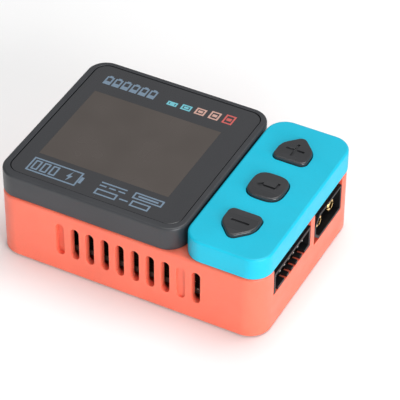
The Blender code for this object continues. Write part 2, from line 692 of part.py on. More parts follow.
def build_button_pod():
    """The blue cover, its three keys, and the switches and board under them."""
    top = TOP_BASE + POD_HEIGHT
    roof_under = top - POD_ROOF
    pod = add_piece("button_pod", box_mesh(
        "button_pod", [((POD_LEFT, TOP_FRONT, TOP_BASE), (POD_RIGHT, TOP_BACK, top))],
        corner=TOP_CORNER, rim=POD_RIM, steps=7), "blue_plastic")
    hollow = [((POD_LEFT + POD_WALL, TOP_FRONT + POD_WALL, TOP_BASE - OVERCUT),
               (POD_RIGHT - POD_WALL, TOP_BACK - POD_WALL, roof_under))]
    cut(pod, "pod_hollow", box_mesh("pod_hollow", hollow, corner=TOP_CORNER - POD_WALL))
    row_x = (POD_LEFT + POD_RIGHT) / 2 + KEY_ROW_X
    row_y = (TOP_FRONT + TOP_BACK) / 2 + KEY_ROW_Y
    board_low = DECK_TOP + REST_GAP
    board_top = board_low + BUTTON_BOARD_THICKNESS
    margin = POD_WALL + REST_GAP
    add_piece("button_board", box_mesh("button_board", [
        ((POD_LEFT + margin, TOP_FRONT + margin, board_low),
         (POD_RIGHT - margin, TOP_BACK - margin, board_top))],
        corner=TOP_CORNER - margin, steps=3), "board_laminate")
    flange_top = roof_under - REST_GAP
    flange_low = flange_top - KEY_FLANGE_THICKNESS
    plunger_top = flange_low - REST_GAP
    switch_top = flange_low - KEY_TRAVEL - REST_GAP
    switch_low = board_top + REST_GAP
    half = SWITCH_SIZE / 2
    for kind, y in (("plus", row_y + KEY_PITCH), ("enter", row_y), ("minus", row_y - KEY_PITCH)):
        cut(pod, f"{kind}_hole", outline_mesh(
            f"{kind}_hole", key_outline(kind, SIDE_GAP), roof_under - OVERCUT, top + OVERCUT),
            (row_x, y, 0.0))
        key = add_piece(f"{kind}_button", outline_mesh(
            f"{kind}_button", key_outline(kind, 0.0), flange_low, top + KEY_PROUD, rim=KEY_RIM),
            "key_plastic", (row_x, y, 0.0))
        fuse(key, f"{kind}_flange", outline_mesh(
            f"{kind}_flange", key_outline(kind, KEY_FLANGE), flange_low, flange_top), (row_x, y, 0.0))
        switch = add_piece(f"{kind}_switch", box_mesh(
            f"{kind}_switch", [((-half, -half, switch_low), (half, half, switch_top))],
            corner=SWITCH_CORNER, steps=1), "socket_plastic", (row_x, y, 0.0))
        cut(switch, f"{kind}_switch_well", rod_mesh(
            f"{kind}_switch_well", [(0.0, 0.0)], PLUNGER_RADIUS + SIDE_GAP, switch_low + SWITCH_FLOOR,
            switch_top + OVERCUT, steps=16), (row_x, y, 0.0))
        add_piece(f"{kind}_plunger", rod_mesh(
            f"{kind}_plunger", [(0.0, 0.0)], PLUNGER_RADIUS, plunger_top - PLUNGER_LENGTH, plunger_top,
            steps=16), "white_plastic", (row_x, y, 0.0))


def socket_outline(grow):
    """A two-pin socket's outline across its axis: the end at -X is chamfered, the other is square."""
    half_x, half_y = SOCKET_WIDTH / 2 + grow, SOCKET_HEIGHT / 2 + grow
    chamfer = SOCKET_CHAMFER + grow * 0.6
    return [(-half_x, -half_y + chamfer), (-half_x + chamfer, -half_y), (half_x, -half_y),
            (half_x, half_y), (-half_x + chamfer, half_y), (-half_x, half_y - chamfer)]


def build_two_pin_socket(label, middle_y, side):
    """A two-pin power socket in the right (side 1) or left (side -1) wall, its rim flush with the wall."""
    mouth = side * CASE_WIDTH / 2
    back = mouth - side * SOCKET_DEPTH
    low, high = sorted((mouth, back))
    place = (0.0, middle_y, SOCKET_Z)
    shell = add_piece(f"{label}_socket", outline_mesh(
        f"{label}_socket", socket_outline(0.0), low, high, STAND_ALONG_X), "socket_plastic", place)
    well = sorted((mouth + side * OVERCUT, back + side * SOCKET_BACK))
    cut(shell, f"{label}_socket_well", outline_mesh(
        f"{label}_socket_well", socket_outline(-SOCKET_WALL), *well, STAND_ALONG_X), place)
    pins = [(middle_y - SOCKET_PIN_PITCH / 2, SOCKET_Z), (middle_y + SOCKET_PIN_PITCH / 2, SOCKET_Z)]
    hole = sorted((back - side * OVERCUT, back + side * (SOCKET_BACK + OVERCUT)))
    cut(shell, f"{label}_pin_holes", rod_mesh(
        f"{label}_pin_holes", pins, SOCKET_PIN_RADIUS + SIDE_GAP / 2, *hole, axis=0, steps=20))
    tip = mouth - side * SOCKET_PIN_RECESS
    span = sorted((back - side * SOCKET_PIN_TAIL, tip))
    for number, (y, z) in enumerate(pins, start=1):
        pin = add_piece(f"{label}_pin_{number}", rod_mesh(
            f"{label}_pin_{number}", [(y, z)], SOCKET_PIN_RADIUS, *span, axis=0, steps=20),
            "gold_contact")
        slit = sorted((tip + side * OVERCUT, tip - side * SOCKET_PIN_SLIT_DEPTH))
        reach = SOCKET_PIN_RADIUS + OVERCUT
        cut(pin, f"{label}_slit_{number}", box_mesh(f"{label}_slit_{number}", [
            ((slit[0], y - reach, z - SOCKET_PIN_SLIT / 2), (slit[1], y + reach, z + SOCKET_PIN_SLIT / 2))]))


def balance_length():
    """The balance socket's length along the wall."""
    return (BALANCE_PINS - 1) * BALANCE_PITCH + 2 * BALANCE_END


def balance_low():
    """The height of the balance socket's underside."""
    return CASE_BOTTOM + BALANCE_TOP_RISE - BALANCE_HEIGHT


def build_balance_socket():
    """The balance socket's shell with its keyed lower wall, and its row of bent pins."""
    mouth, well_floor = CASE_WIDTH / 2, CASE_WIDTH / 2 - BALANCE_DEPTH + BALANCE_BACK
    back = mouth - BALANCE_DEPTH
    low, high = balance_low(), balance_low() + BALANCE_HEIGHT
    half = balance_length() / 2
    shell = add_piece("balance_socket", box_mesh("balance_socket", [
        ((back, BALANCE_Y - half, low), (mouth, BALANCE_Y + half, high))]), "socket_plastic")
    wall = BALANCE_WALL
    cut(shell, "balance_well", box_mesh("balance_well", [
        ((well_floor, BALANCE_Y - half + wall, low + wall),
         (mouth + OVERCUT, BALANCE_Y + half - wall, high - wall))]))
    rear_pin_y = BALANCE_Y + (BALANCE_PINS - 1) * BALANCE_PITCH / 2
    keys = []
    for step in BALANCE_KEYS:
        y = rear_pin_y - step * BALANCE_PITCH
        keys.append(((mouth - BALANCE_KEY_DEPTH, y - BALANCE_KEY_WIDTH / 2, low - OVERCUT),
                     (mouth + OVERCUT, y + BALANCE_KEY_WIDTH / 2, low + 1.5 * wall)))
    cut(shell, "balance_keys", box_mesh("balance_keys", keys))
    pin_z = (low + high) / 2
    thick = BALANCE_PIN / 2
    pins_y = [rear_pin_y - index * BALANCE_PITCH for index in range(BALANCE_PINS)]
    hole = thick + SIDE_GAP / 2
    cut(shell, "balance_pin_holes", box_mesh("balance_pin_holes", [
        ((back - OVERCUT, y - hole, pin_z - hole), (well_floor + OVERCUT, y + hole, pin_z + hole))
        for y in pins_y]))
    tip = mouth - BALANCE_PIN_RECESS
    leg = back - BALANCE_PIN_BEND
    bent = [(leg - thick, ON_BOARD), (leg + thick, ON_BOARD), (leg + thick, pin_z - thick),
            (tip, pin_z - thick), (tip, pin_z + thick), (leg - thick, pin_z + thick)]
    shape = outline_mesh("balance_pin", bent, -thick, thick, STAND_ALONG_Y)
    for number, y in enumerate(pins_y, start=1):
        add_piece(f"balance_pin_{number}", shape, "tin_contact", (0.0, y, 0.0))


def usb_mesh(name, grow, low, high):
    """A lying stadium along X, in the USB-C port's place, grown outwards by grow."""
    half_y, half_z = USB_WIDTH / 2 + grow, USB_HEIGHT / 2 + grow
    middle_z = CASE_BOTTOM + USB_RISE
    return box_mesh(name, [
        ((low, USB_Y - half_y, middle_z - half_z), (high, USB_Y + half_y, middle_z + half_z))],
        corner=half_z * 0.98, axis=0, steps=5)


def build_usb_port():
    """The USB-C port's metal shell and its contact tongue."""
    mouth = -CASE_WIDTH / 2
    back = mouth + USB_DEPTH
    shell = add_piece("usb_c_shell", usb_mesh("usb_c_shell", 0.0, mouth, back), "steel")
    cut(shell, "usb_well", usb_mesh("usb_well", -USB_WALL, mouth - OVERCUT, back - USB_BACK))
    middle_z = CASE_BOTTOM + USB_RISE
    half_y, half_z = USB_TONGUE_WIDTH / 2, USB_TONGUE_THICKNESS / 2
    add_piece("usb_c_tongue", box_mesh("usb_c_tongue", [
        ((mouth + USB_TONGUE_RECESS, USB_Y - half_y, middle_z - half_z),
         (back - USB_BACK - SIDE_GAP, USB_Y + half_y, middle_z + half_z))],
        corner=USB_TONGUE_CORNER, steps=2), "socket_plastic")


def build_main_board():
    """The main board with its cut-out for the fan and clearances for the bosses."""
    reach_x, reach_y = INNER_X - REST_GAP, INNER_Y - REST_GAP
    board = add_piece("main_board", box_mesh("main_board", [
        ((-reach_x, -reach_y, BOARD_UNDER), (reach_x, reach_y, BOARD_TOP))],
        corner=BOARD_CORNER, steps=3), "board_laminate")
    cut(board, "boss_clearances", rod_mesh(
        "boss_clearances", screw_places(), BOSS_RADIUS + REST_GAP, BOARD_UNDER - OVERCUT,
        BOARD_TOP + OVERCUT, steps=16))
    half = FAN_SIZE / 2 + REST_GAP
    cut(board, "fan_cutout", box_mesh("fan_cutout", [
        ((FAN_X - half, FAN_Y - half, BOARD_UNDER - OVERCUT),
         (FAN_X + half, FAN_Y + half, BOARD_TOP + OVERCUT))]))


def build_heat_sink(x):
    """The finned heat sink, at that place along X."""
    pitch = (HEAT_SINK_WIDTH - HEAT_SINK_FIN) / (HEAT_SINK_FINS - 1)
    comb = [(HEAT_SINK_WIDTH / 2, 0.0)]
    for index in range(HEAT_SINK_FINS):
        right = HEAT_SINK_WIDTH / 2 - index * pitch
        comb += [(right, HEAT_SINK_HEIGHT), (right - HEAT_SINK_FIN, HEAT_SINK_HEIGHT)]
        if index < HEAT_SINK_FINS - 1:
            comb += [(right - HEAT_SINK_FIN, HEAT_SINK_BASE), (right - pitch, HEAT_SINK_BASE)]
    comb.append((-HEAT_SINK_WIDTH / 2, 0.0))
    half = HEAT_SINK_LENGTH / 2
    add_piece("heat_sink", outline_mesh("heat_sink", comb, -half, half, STAND_ALONG_Y), "aluminium",
              (x, FAN_Y, ON_BOARD))


def build_capacitors(x):
    """The row of crimped cans, at that place along X."""
    profile = [(0.0, CAN_HEIGHT), (CAN_RADIUS - CAN_RIM, CAN_HEIGHT), (CAN_RADIUS, CAN_HEIGHT - CAN_RIM),
               (CAN_RADIUS, CAN_CRIMP + CAN_CRIMP_HALF), (CAN_RADIUS - CAN_CRIMP_DEPTH, CAN_CRIMP),
               (CAN_RADIUS, CAN_CRIMP - CAN_CRIMP_HALF), (CAN_RADIUS, 0.0), (0.0, 0.0)]
    for number in range(1, CAN_COUNT + 1):
        name = f"capacitor_{number}"
        add_piece(name, turned_object(name, profile, 16), "aluminium",
                  (x, BALANCE_Y + (2 - number) * CAN_PITCH, ON_BOARD))


def build_board_parts():
    """Heat sink, capacitors, inductor, controller and buzzer."""
    sink_x = FAN_X + FAN_SIZE / 2 + HEAT_SINK_GAP + HEAT_SINK_WIDTH / 2
    build_heat_sink(sink_x)
    build_capacitors(sink_x + HEAT_SINK_WIDTH / 2 + CAN_GAP + CAN_RADIUS)
    half = INDUCTOR_SIZE / 2
    inductor_x = FAN_X - FAN_SIZE / 2 - INDUCTOR_GAP_X - half
    inductor_y = -INNER_Y + INDUCTOR_GAP_Y + half
    add_piece("power_inductor", box_mesh("power_inductor", [
        ((-half, -half, 0.0), (half, half, INDUCTOR_HEIGHT))], corner=INDUCTOR_CORNER, rim=INDUCTOR_RIM,
        steps=3), "ferrite", (inductor_x, inductor_y, ON_BOARD))
    back_y = (FAN_Y + FAN_SIZE / 2 + INNER_Y) / 2
    half = CHIP_SIZE / 2
    add_piece("controller_chip", box_mesh(
        "controller_chip", [((-half, -half, 0.0), (half, half, CHIP_HEIGHT))]),
        "socket_plastic", (FAN_X + CHIP_SHIFT_X, back_y, ON_BOARD))
    hole_floor = BUZZER_HEIGHT - BUZZER_HOLE_DEPTH
    profile = [(0.0, hole_floor), (BUZZER_HOLE_RADIUS, hole_floor), (BUZZER_HOLE_RADIUS, BUZZER_HEIGHT),
               (BUZZER_RADIUS, BUZZER_HEIGHT), (BUZZER_RADIUS, 0.0), (0.0, 0.0)]
    add_piece("buzzer", turned_object("buzzer", profile, 16), "socket_plastic",
              (FAN_X + BUZZER_SHIFT_X, back_y, ON_BOARD))


def build_fan():
    """The fan's frame with its bearing tube, the stator around it, and the rotor that turns over both."""
    low = COVER_TOP + REST_GAP
    half = FAN_SIZE / 2
    frame = add_piece("fan_frame", box_mesh(
        "fan_frame", [((-half, -half, 0.0), (half, half, FAN_HEIGHT))], corner=FAN_CORNER, steps=3),
        "socket_plastic", (FAN_X, FAN_Y, low))
    place = (FAN_X, FAN_Y, low)
    cut(frame, "fan_bore", rod_mesh(
        "fan_bore", [(0.0, 0.0)], FAN_BORE_RADIUS, -OVERCUT, FAN_HEIGHT + OVERCUT, steps=32), place)
    bm = bmesh.new()
    spoke_length = FAN_BORE_RADIUS + FAN_SPOKE_ROOT
    for index in range(FAN_SPOKES):
        turn = Matrix.Rotation(2 * math.pi * index / FAN_SPOKES + math.pi / 2, 4, "Z")
        shift = Matrix.Translation((spoke_length / 2, 0.0, FAN_BASE / 2))
        size = Matrix.Diagonal((spoke_length, FAN_SPOKE_WIDTH, FAN_BASE * 0.9, 1.0))
        bmesh.ops.create_cube(bm, size=1.0, matrix=turn @ shift @ size)
    hub_low = FAN_BASE + ROTOR_GAP
    hub_top = FAN_HEIGHT - ROTOR_GAP
    tube_top = hub_top - HUB_WALL - ROTOR_GAP
    base = turned_object("fan_base", [
        (0.0, FAN_BASE), (SHAFT_RADIUS + RUNNING_GAP, FAN_BASE), (SHAFT_RADIUS + RUNNING_GAP, tube_top),
        (BEARING_RADIUS, tube_top), (BEARING_RADIUS, FAN_BASE), (HUB_RADIUS, FAN_BASE), (HUB_RADIUS, 0.0),
        (0.0, 0.0)], 24)
    spokes = add_tool("fan_spokes", to_mesh(bm, "fan_spokes"), place)
    combine(frame, spokes, "UNION")
    combine(frame, add_tool("fan_base", base, place), "UNION")
    stator_inner = BEARING_RADIUS + SIDE_GAP
    stator_low, stator_top = FAN_BASE + REST_GAP, tube_top - ROTOR_GAP
    add_piece("fan_stator", turned_object("fan_stator", [
        (stator_inner, stator_top), (STATOR_RADIUS, stator_top), (STATOR_RADIUS, stator_low),
        (stator_inner, stator_low), (stator_inner, stator_top)], 24), "copper_winding", place)
    rotor = add_piece("fan_rotor", turned_object("fan_rotor", [
        (0.0, hub_top), (HUB_RADIUS, hub_top), (HUB_RADIUS, hub_low), (HUB_RADIUS - HUB_WALL, hub_low),
        (HUB_RADIUS - HUB_WALL, hub_top - HUB_WALL), (SHAFT_RADIUS, hub_top - HUB_WALL),
        (SHAFT_RADIUS, FAN_BASE + REST_GAP), (0.0, FAN_BASE + REST_GAP)], 24), "socket_plastic", place)
    bm = bmesh.new()
    root = HUB_RADIUS - HUB_WALL * 0.7
    middle_z = (hub_low + hub_top) / 2
    for index in range(BLADE_COUNT):
        turn = Matrix.Rotation(2 * math.pi * index / BLADE_COUNT, 4, "Z")
        shift = Matrix.Translation(((root + BLADE_TIP_RADIUS) / 2, 0.0, middle_z))
        tilt = Matrix.Rotation(BLADE_PITCH, 4, "X")
        size = Matrix.Diagonal((BLADE_TIP_RADIUS - root, BLADE_CHORD, BLADE_THICKNESS, 1.0))
        bmesh.ops.create_cube(bm, size=1.0, matrix=turn @ shift @ tilt @ size)
    combine(rotor, add_tool("fan_blades", to_mesh(bm, "fan_blades"), place), "UNION")


clear_scene()
PIECES = new_collection("balance_charger")
TOOLS = new_collection("cutters")
build_case_shell()
build_bottom_cover()
build_feet_and_screws()
build_screen()
build_ribbon()
build_button_pod()
build_two_pin_socket("output", OUTPUT_Y, 1)
build_two_pin_socket("input", INPUT_Y, -1)
build_balance_socket()
build_usb_port()
build_main_board()
build_board_parts()
build_fan()
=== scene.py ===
"""Looks of a pocket balance charger, built around its CAD solids.

Every length is in metres in the CAD model's own frame: +X runs along the case towards the keys,
+Y to the back, +Z up, and the origin is on the table under the middle of the case.
"""

import logging
import math
from dataclasses import dataclass
from enum import Enum
from typing import Iterable, Sequence

import bmesh
import bpy
from mathutils import Matrix, Vector


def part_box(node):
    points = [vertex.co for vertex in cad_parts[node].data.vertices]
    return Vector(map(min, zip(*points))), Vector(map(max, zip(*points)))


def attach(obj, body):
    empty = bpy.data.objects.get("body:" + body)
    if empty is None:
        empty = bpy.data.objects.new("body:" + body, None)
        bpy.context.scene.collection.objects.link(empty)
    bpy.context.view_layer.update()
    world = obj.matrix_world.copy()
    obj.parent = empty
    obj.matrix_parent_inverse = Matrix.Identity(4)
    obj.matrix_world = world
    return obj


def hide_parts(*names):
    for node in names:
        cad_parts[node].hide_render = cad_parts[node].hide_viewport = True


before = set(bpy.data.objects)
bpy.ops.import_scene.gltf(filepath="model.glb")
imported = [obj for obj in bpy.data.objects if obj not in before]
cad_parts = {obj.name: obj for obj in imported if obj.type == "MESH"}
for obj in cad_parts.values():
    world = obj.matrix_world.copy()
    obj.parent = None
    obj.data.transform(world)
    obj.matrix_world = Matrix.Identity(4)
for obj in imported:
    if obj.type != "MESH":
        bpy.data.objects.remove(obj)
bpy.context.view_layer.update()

MM = 0.001
ROOT = "charger"
QUARTER_TURN = [index * math.pi / 12 for index in range(7)]
# Shares of a width and of a half width: a little short of a full arc, so that two arcs never meet.
SLOT_ROUND = 0.499
FULL_ROUND = 0.999
Colour = tuple[float, float, float]
Point = Sequence[float]
Span = Sequence[float]
Socket = bpy.types.NodeSocket

log = logging.getLogger("balance_charger")


class Axis(Enum):
    """One axis of the frame."""

    X = 0
    Y = 1
    Z = 2


class Join(Enum):
    """How one form changes another."""

    CUT = "DIFFERENCE"
    ADD = "UNION"


class KeyKind(Enum):
    """The three keys, by what they do."""

    PLUS = "plus"
    ENTER = "enter"
    MINUS = "minus"


class NodeSheet:
    """A material's node tree, with short ways to add and join its nodes."""

    def __init__(self, name: str) -> None:
        """Start a material whose Principled shader is ready to be fed.

        Args:
            name: the material's name.
        """
        self.material = bpy.data.materials.new(name)
        self.material.use_nodes = True
        self.tree = self.material.node_tree
        self.shader = self.tree.nodes["Principled BSDF"]
        self.place = self.tree.nodes.new("ShaderNodeTexCoord").outputs["Object"]

    def constant(self, **values: float | tuple) -> None:
        """Set values that are the same all over the surface.

        Args:
            values: shader sockets by name, with underscores for spaces.
        """
        for name, value in values.items():
            self.shader.inputs[name.replace("_", " ")].default_value = value

    def drive(self, socket: str, source: Socket) -> None:
        """Feed a shader socket from a node."""
        self.tree.links.new(source, self.shader.inputs[socket])

    def add(self, kind: str, **inputs: object) -> bpy.types.Node:
        """Add a node and fill its inputs.

        Args:
            kind: the node's type without its ShaderNode prefix.
            inputs: values or sockets by input name, with underscores for spaces.

        Returns:
            The new node.
        """
        node = self.tree.nodes.new("ShaderNode" + kind)
        for name, value in inputs.items():
            target = node.inputs[name.replace("_", " ")]
            if isinstance(value, Socket):
                self.tree.links.new(value, target)
            else:
                target.default_value = value
        return node

    def noise(self, size: float, detail: float = 2.0, stretch: Point = (1.0, 1.0, 1.0)) -> Socket:
        """Return a noise value.

        Args:
            size: the width of one patch in metres.
            detail: how many finer layers it has.
            stretch: how much it is squeezed along each axis.

        Returns:
            The noise node's value output.
        """
        place = self.add("Mapping", Vector=self.place, Scale=stretch).outputs[0]
        return self.add("TexNoise", Vector=place, Scale=1.0 / size, Detail=detail).outputs["Fac"]

    def cells(self, size: float) -> Socket:
        """Return the distance to the nearest of scattered points a size apart."""
        return self.add("TexVoronoi", Vector=self.place, Scale=1.0 / size).outputs["Distance"]

    def bands(self, pitch: float, axis: Axis, wobble: float = 0.0) -> Socket:
        """Return soft parallel bands a pitch apart along an axis."""
        node = self.add("TexWave", Vector=self.place, Scale=math.pi / 10.0 / pitch, Distortion=wobble)
        node.bands_direction = axis.name
        return node.outputs["Fac"]

    def graded(self, source: Socket, low: float, high: float, start: float = 0.3, end: float = 0.7) -> Socket:
        """Map a value that runs from start to end onto low to high, clamped."""
        node = self.add("MapRange", Value=source, From_Min=start, From_Max=end, To_Min=low, To_Max=high)
        return node.outputs["Result"]

    def blended(self, amount: Socket, first: Colour | Socket, second: Colour) -> Socket:
        """Return a colour between two, by an amount; the first may come from a node."""
        node = self.tree.nodes.new("ShaderNodeMix")
        node.data_type = "RGBA"
        self.tree.links.new(amount, node.inputs["Factor"])
        ends = {item.name: item for item in node.inputs if item.type == "RGBA"}
        if isinstance(first, Socket):
            self.tree.links.new(first, ends["A"])
        else:
            ends["A"].default_value = (*first, 1.0)
        ends["B"].default_value = (*second, 1.0)
        return [item for item in node.outputs if item.type == "RGBA"][0]

    def tinted(self, amount: Socket, colour: Colour, low: float, high: float) -> Socket:
        """Return a colour that runs between two shades of itself, by an amount."""
        return self.blended(amount, scaled(colour, low), scaled(colour, high))

    def relief(self, height: Socket, depth: float, under: Socket | None = None,
               strength: float = 1.0) -> Socket:
        """Return a normal bent by a height.

        Args:
            height: the height value, 0 to 1.
            depth: the real depth of that range in metres.
            under: a normal that this one is laid on.
            strength: how much of it shows.

        Returns:
            The bump node's normal output.
        """
        node = self.add("Bump", Height=height, Distance=depth, Strength=strength)
        if under is not None:
            self.tree.links.new(under, node.inputs["Normal"])
        return node.outputs["Normal"]


def scaled(colour: Colour, factor: float) -> Colour:
    """Return a colour made lighter or darker."""
    return tuple(min(1.0, part * factor) for part in colour)


@dataclass(frozen=True)
class Finish:
    """What every finish has: a name, a slot of the record, a base colour and a roughness."""

    name: str
    slot: str
    colour: Colour
    roughness: float

    def paint(self, sheet: NodeSheet) -> None:
        """Feed the shader of a new material."""
        raise NotImplementedError

    def build(self) -> bpy.types.Material:
        """Return the finish as a material."""
        sheet = NodeSheet(self.name)
        self.paint(sheet)
        return sheet.material

    def vary_gloss(self, sheet: NodeSheet, source: Socket, below: float, above: float) -> None:
        """Let the roughness run from a little below to a little above its own value."""
        sheet.drive("Roughness", sheet.graded(source, self.roughness - below, self.roughness + above))


@dataclass(frozen=True)
class MouldedPlastic(Finish):
    """Plastic from a spark-eroded mould: fine grain, faint flow marks and slightly uneven gloss."""

    grain: float = 0.22 * MM
    grain_depth: float = 0.010 * MM
    mottle: float = 0.05
    gloss: float = 0.5
    glow: float = 0.0

    def paint(self, sheet: NodeSheet) -> None:
        """Paint the plastic."""
        sheet.constant(Specular_IOR_Level=self.gloss, Subsurface_Weight=self.glow,
                       Subsurface_Radius=(1.0, 0.16, 0.10), Subsurface_Scale=1.6 * MM)
        clouds = sheet.noise(14 * MM, 3.0)
        flow = sheet.noise(5 * MM, 1.0, (0.35, 1.0, 1.6))
        speckle = sheet.noise(self.grain * 2.5)
        base = sheet.tinted(sheet.graded(clouds, 0.0, 1.0), self.colour, 1.0 - self.mottle, 1.0 + self.mottle)
        shade = sheet.blended(sheet.graded(speckle, 0.0, 0.12, 0.45, 0.7), base, scaled(self.colour, 0.8))
        sheet.drive("Base Color", shade)
        self.vary_gloss(sheet, flow, 0.05, 0.06)
        coarse = sheet.relief(speckle, self.grain_depth * 1.6)
        sheet.drive("Normal", sheet.relief(sheet.cells(self.grain), self.grain_depth, under=coarse))


@dataclass(frozen=True)
class InkedGlass(Finish):
    """Cover glass printed black from behind: polished, with faint wipe marks."""

    def paint(self, sheet: NodeSheet) -> None:
        """Paint the printed glass."""
        sheet.constant(Coat_Weight=0.6, Coat_Roughness=0.06, Coat_IOR=1.5, Specular_IOR_Level=0.5)
        wipe = sheet.noise(9 * MM, 4.0, (1.0, 0.25, 1.0))
        ink = sheet.noise(0.3 * MM, 1.0)
        sheet.drive("Base Color", sheet.tinted(sheet.graded(ink, 0.0, 1.0), self.colour, 0.93, 1.07))
        self.vary_gloss(sheet, wipe, 0.03, 0.06)
        sheet.drive("Normal", sheet.relief(wipe, 0.002 * MM, strength=0.4))


@dataclass(frozen=True)
class UnlitScreen(Finish):
    """A switched-off display: a polarising film with the faint grid of its picture elements."""

    element: float = 0.16 * MM

    def paint(self, sheet: NodeSheet) -> None:
        """Paint the display film."""
        sheet.constant(Coat_Weight=0.6, Coat_Roughness=0.06, Specular_IOR_Level=0.5)
        rows = sheet.bands(self.element, Axis.Y)
        columns = sheet.bands(self.element / 3.0, Axis.X)
        haze = sheet.noise(12 * MM)
        film = sheet.tinted(sheet.graded(haze, 0.0, 1.0), self.colour, 0.95, 1.05)
        lined = sheet.blended(sheet.graded(rows, 0.0, 0.16, 0.0, 1.0), film, scaled(self.colour, 0.6))
        grid = sheet.blended(sheet.graded(columns, 0.0, 0.10, 0.0, 1.0), lined, scaled(self.colour, 1.5))
        sheet.drive("Base Color", grid)
        self.vary_gloss(sheet, haze, 0.03, 0.05)


@dataclass(frozen=True)
class PrintedInk(Finish):
    """Screen-printed marks: thin, slightly broken ink."""

    def paint(self, sheet: NodeSheet) -> None:
        """Paint the ink."""
        sheet.constant(Specular_IOR_Level=0.4)
        wear = sheet.noise(0.35 * MM, 3.0)
        sheet.drive("Base Color", sheet.tinted(sheet.graded(wear, 0.0, 1.0), self.colour, 0.86, 1.08))
        self.vary_gloss(sheet, wear, 0.05, 0.1)


@dataclass(frozen=True)
class BareMetal(Finish):
    """Bare or plated metal with drawn or turned lines and a little tarnish."""

    grain: Point = (0.08, 1.0, 1.0)
    lines: float = 0.12 * MM
    depth: float = 0.004 * MM
    tarnish: float = 0.25

    def paint(self, sheet: NodeSheet) -> None:
        """Paint the metal."""
        sheet.constant(Metallic=1.0)
        drawn = sheet.noise(self.lines, stretch=self.grain)
        cloud = sheet.graded(sheet.noise(1.6 * MM, 3.0), 0.0, 1.0, 0.35, 0.8)
        sheet.drive("Base Color", sheet.tinted(cloud, self.colour, 1.0, 1.0 - self.tarnish))
        self.vary_gloss(sheet, drawn, 0.06, 0.1)
        sheet.drive("Normal", sheet.relief(drawn, self.depth))


@dataclass(frozen=True)
class CircuitBoard(Finish):
    """A board under solder mask: raised tracks, tinned pads and the weave of the laminate."""

    track: Colour = (0.035, 0.075, 0.05)
    pad: Colour = (0.72, 0.70, 0.64)

    def paint(self, sheet: NodeSheet) -> None:
        """Paint the board."""
        sheet.constant(Specular_IOR_Level=0.55)
        grid = sheet.add("TexBrick", Vector=sheet.place, Scale=420.0, Mortar_Size=0.03, Mortar_Smooth=0.2,
                         Brick_Width=0.9, Row_Height=0.35).outputs["Fac"]
        pads = sheet.graded(sheet.cells(2.2 * MM), 1.0, 0.0, 0.10, 0.14)
        sheet.drive("Base Color", sheet.blended(pads, sheet.blended(grid, self.colour, self.track), self.pad))
        self.vary_gloss(sheet, sheet.noise(3 * MM), 0.05, 0.08)
        weave = sheet.relief(sheet.bands(0.5 * MM, Axis.X), 0.003 * MM)
        sheet.drive("Normal", sheet.relief(grid, 0.02 * MM, under=weave))


@dataclass(frozen=True)
class SoftRubber(Finish):
    """Matt rubber with a pebbled skin and a dusting of pale bloom."""

    def paint(self, sheet: NodeSheet) -> None:
        """Paint the rubber."""
        sheet.constant(Specular_IOR_Level=0.3)
        bloom = sheet.noise(1.5 * MM, 4.0)
        dust = sheet.graded(bloom, 0.0, 1.0, 0.4, 0.8)
        sheet.drive("Base Color", sheet.tinted(dust, self.colour, 1.0, 2.0))
        self.vary_gloss(sheet, bloom, 0.08, 0.05)
        sheet.drive("Normal", sheet.relief(sheet.cells(0.3 * MM), 0.02 * MM))


@dataclass(frozen=True)
class WoundWire(Finish):
    """Enamelled wire laid in turns, with painted shade darkening the grooves between the turns."""

    wire: float = 0.35 * MM

    def paint(self, sheet: NodeSheet) -> None:
        """Paint the winding, with painted shade in the grooves between turns."""
        sheet.constant(Metallic=0.85, Coat_Weight=0.5, Coat_Roughness=0.15)
        turns = sheet.bands(self.wire, Axis.Z, wobble=0.4)
        # Painted shade: the colour darkens to about a third of itself in the grooves between turns, where the
        # relief sinks.
        sheet.drive("Base Color", sheet.tinted(turns, self.colour, 0.35, 1.0))
        sheet.drive("Roughness", sheet.graded(turns, self.roughness + 0.2, self.roughness, 0.0, 1.0))
        sheet.drive("Normal", sheet.relief(turns, 0.1 * MM))


@dataclass(frozen=True)
class StudioPaper(Finish):
    """The pale sheet that the charger stands on."""

    def paint(self, sheet: NodeSheet) -> None:
        """Paint the sheet."""
        sheet.constant(Specular_IOR_Level=0.2)
        tooth = sheet.noise(2 * MM, 3.0)
        sheet.drive("Base Color", sheet.tinted(tooth, self.colour, 0.995, 1.0))
        self.vary_gloss(sheet, tooth, 0.05, 0.05)


CORAL = MouldedPlastic("coral_case_plastic", "coral_plastic", (0.88, 0.175, 0.105), 0.42, glow=0.35)
GRAPHITE = MouldedPlastic("graphite_housing_plastic", "dark_housing_plastic", (0.035, 0.037, 0.042), 0.38,
                          grain=0.18 * MM, grain_depth=0.008 * MM)
SKY = MouldedPlastic("sky_pod_plastic", "blue_plastic", (0.0, 0.49, 0.68), 0.44, gloss=0.4)
KEY_BLACK = MouldedPlastic("key_cap_plastic", "key_plastic", (0.034, 0.035, 0.038), 0.28,
                           grain=0.16 * MM, grain_depth=0.006 * MM)
NYLON = MouldedPlastic("socket_nylon", "socket_plastic", (0.009, 0.009, 0.010), 0.40,
                       grain=0.3 * MM, grain_depth=0.006 * MM, gloss=0.22)
FAN_PLASTIC = MouldedPlastic("fan_plastic", "socket_plastic", (0.014, 0.014, 0.016), 0.45, grain=0.3 * MM)
WHITE_PLASTIC = MouldedPlastic("white_tray_plastic", "white_plastic", (0.80, 0.80, 0.77), 0.45)
GLASS = InkedGlass("inked_cover_glass", "display_glass", (0.036, 0.037, 0.041), 0.22)
SCREEN = UnlitScreen("unlit_display_film", "display_glass", (0.075, 0.062, 0.055), 0.24)
PALE_INK = PrintedInk("pale_mark_ink", "display_glass", (0.17, 0.24, 0.32), 0.45)
AQUA_INK = PrintedInk("aqua_mark_ink", "display_glass", (0.16, 0.50, 0.58), 0.45)
BLUSH_INK = PrintedInk("blush_mark_ink", "display_glass", (0.60, 0.36, 0.30), 0.45)
RED_INK = PrintedInk("red_mark_ink", "display_glass", (0.58, 0.11, 0.10), 0.45)
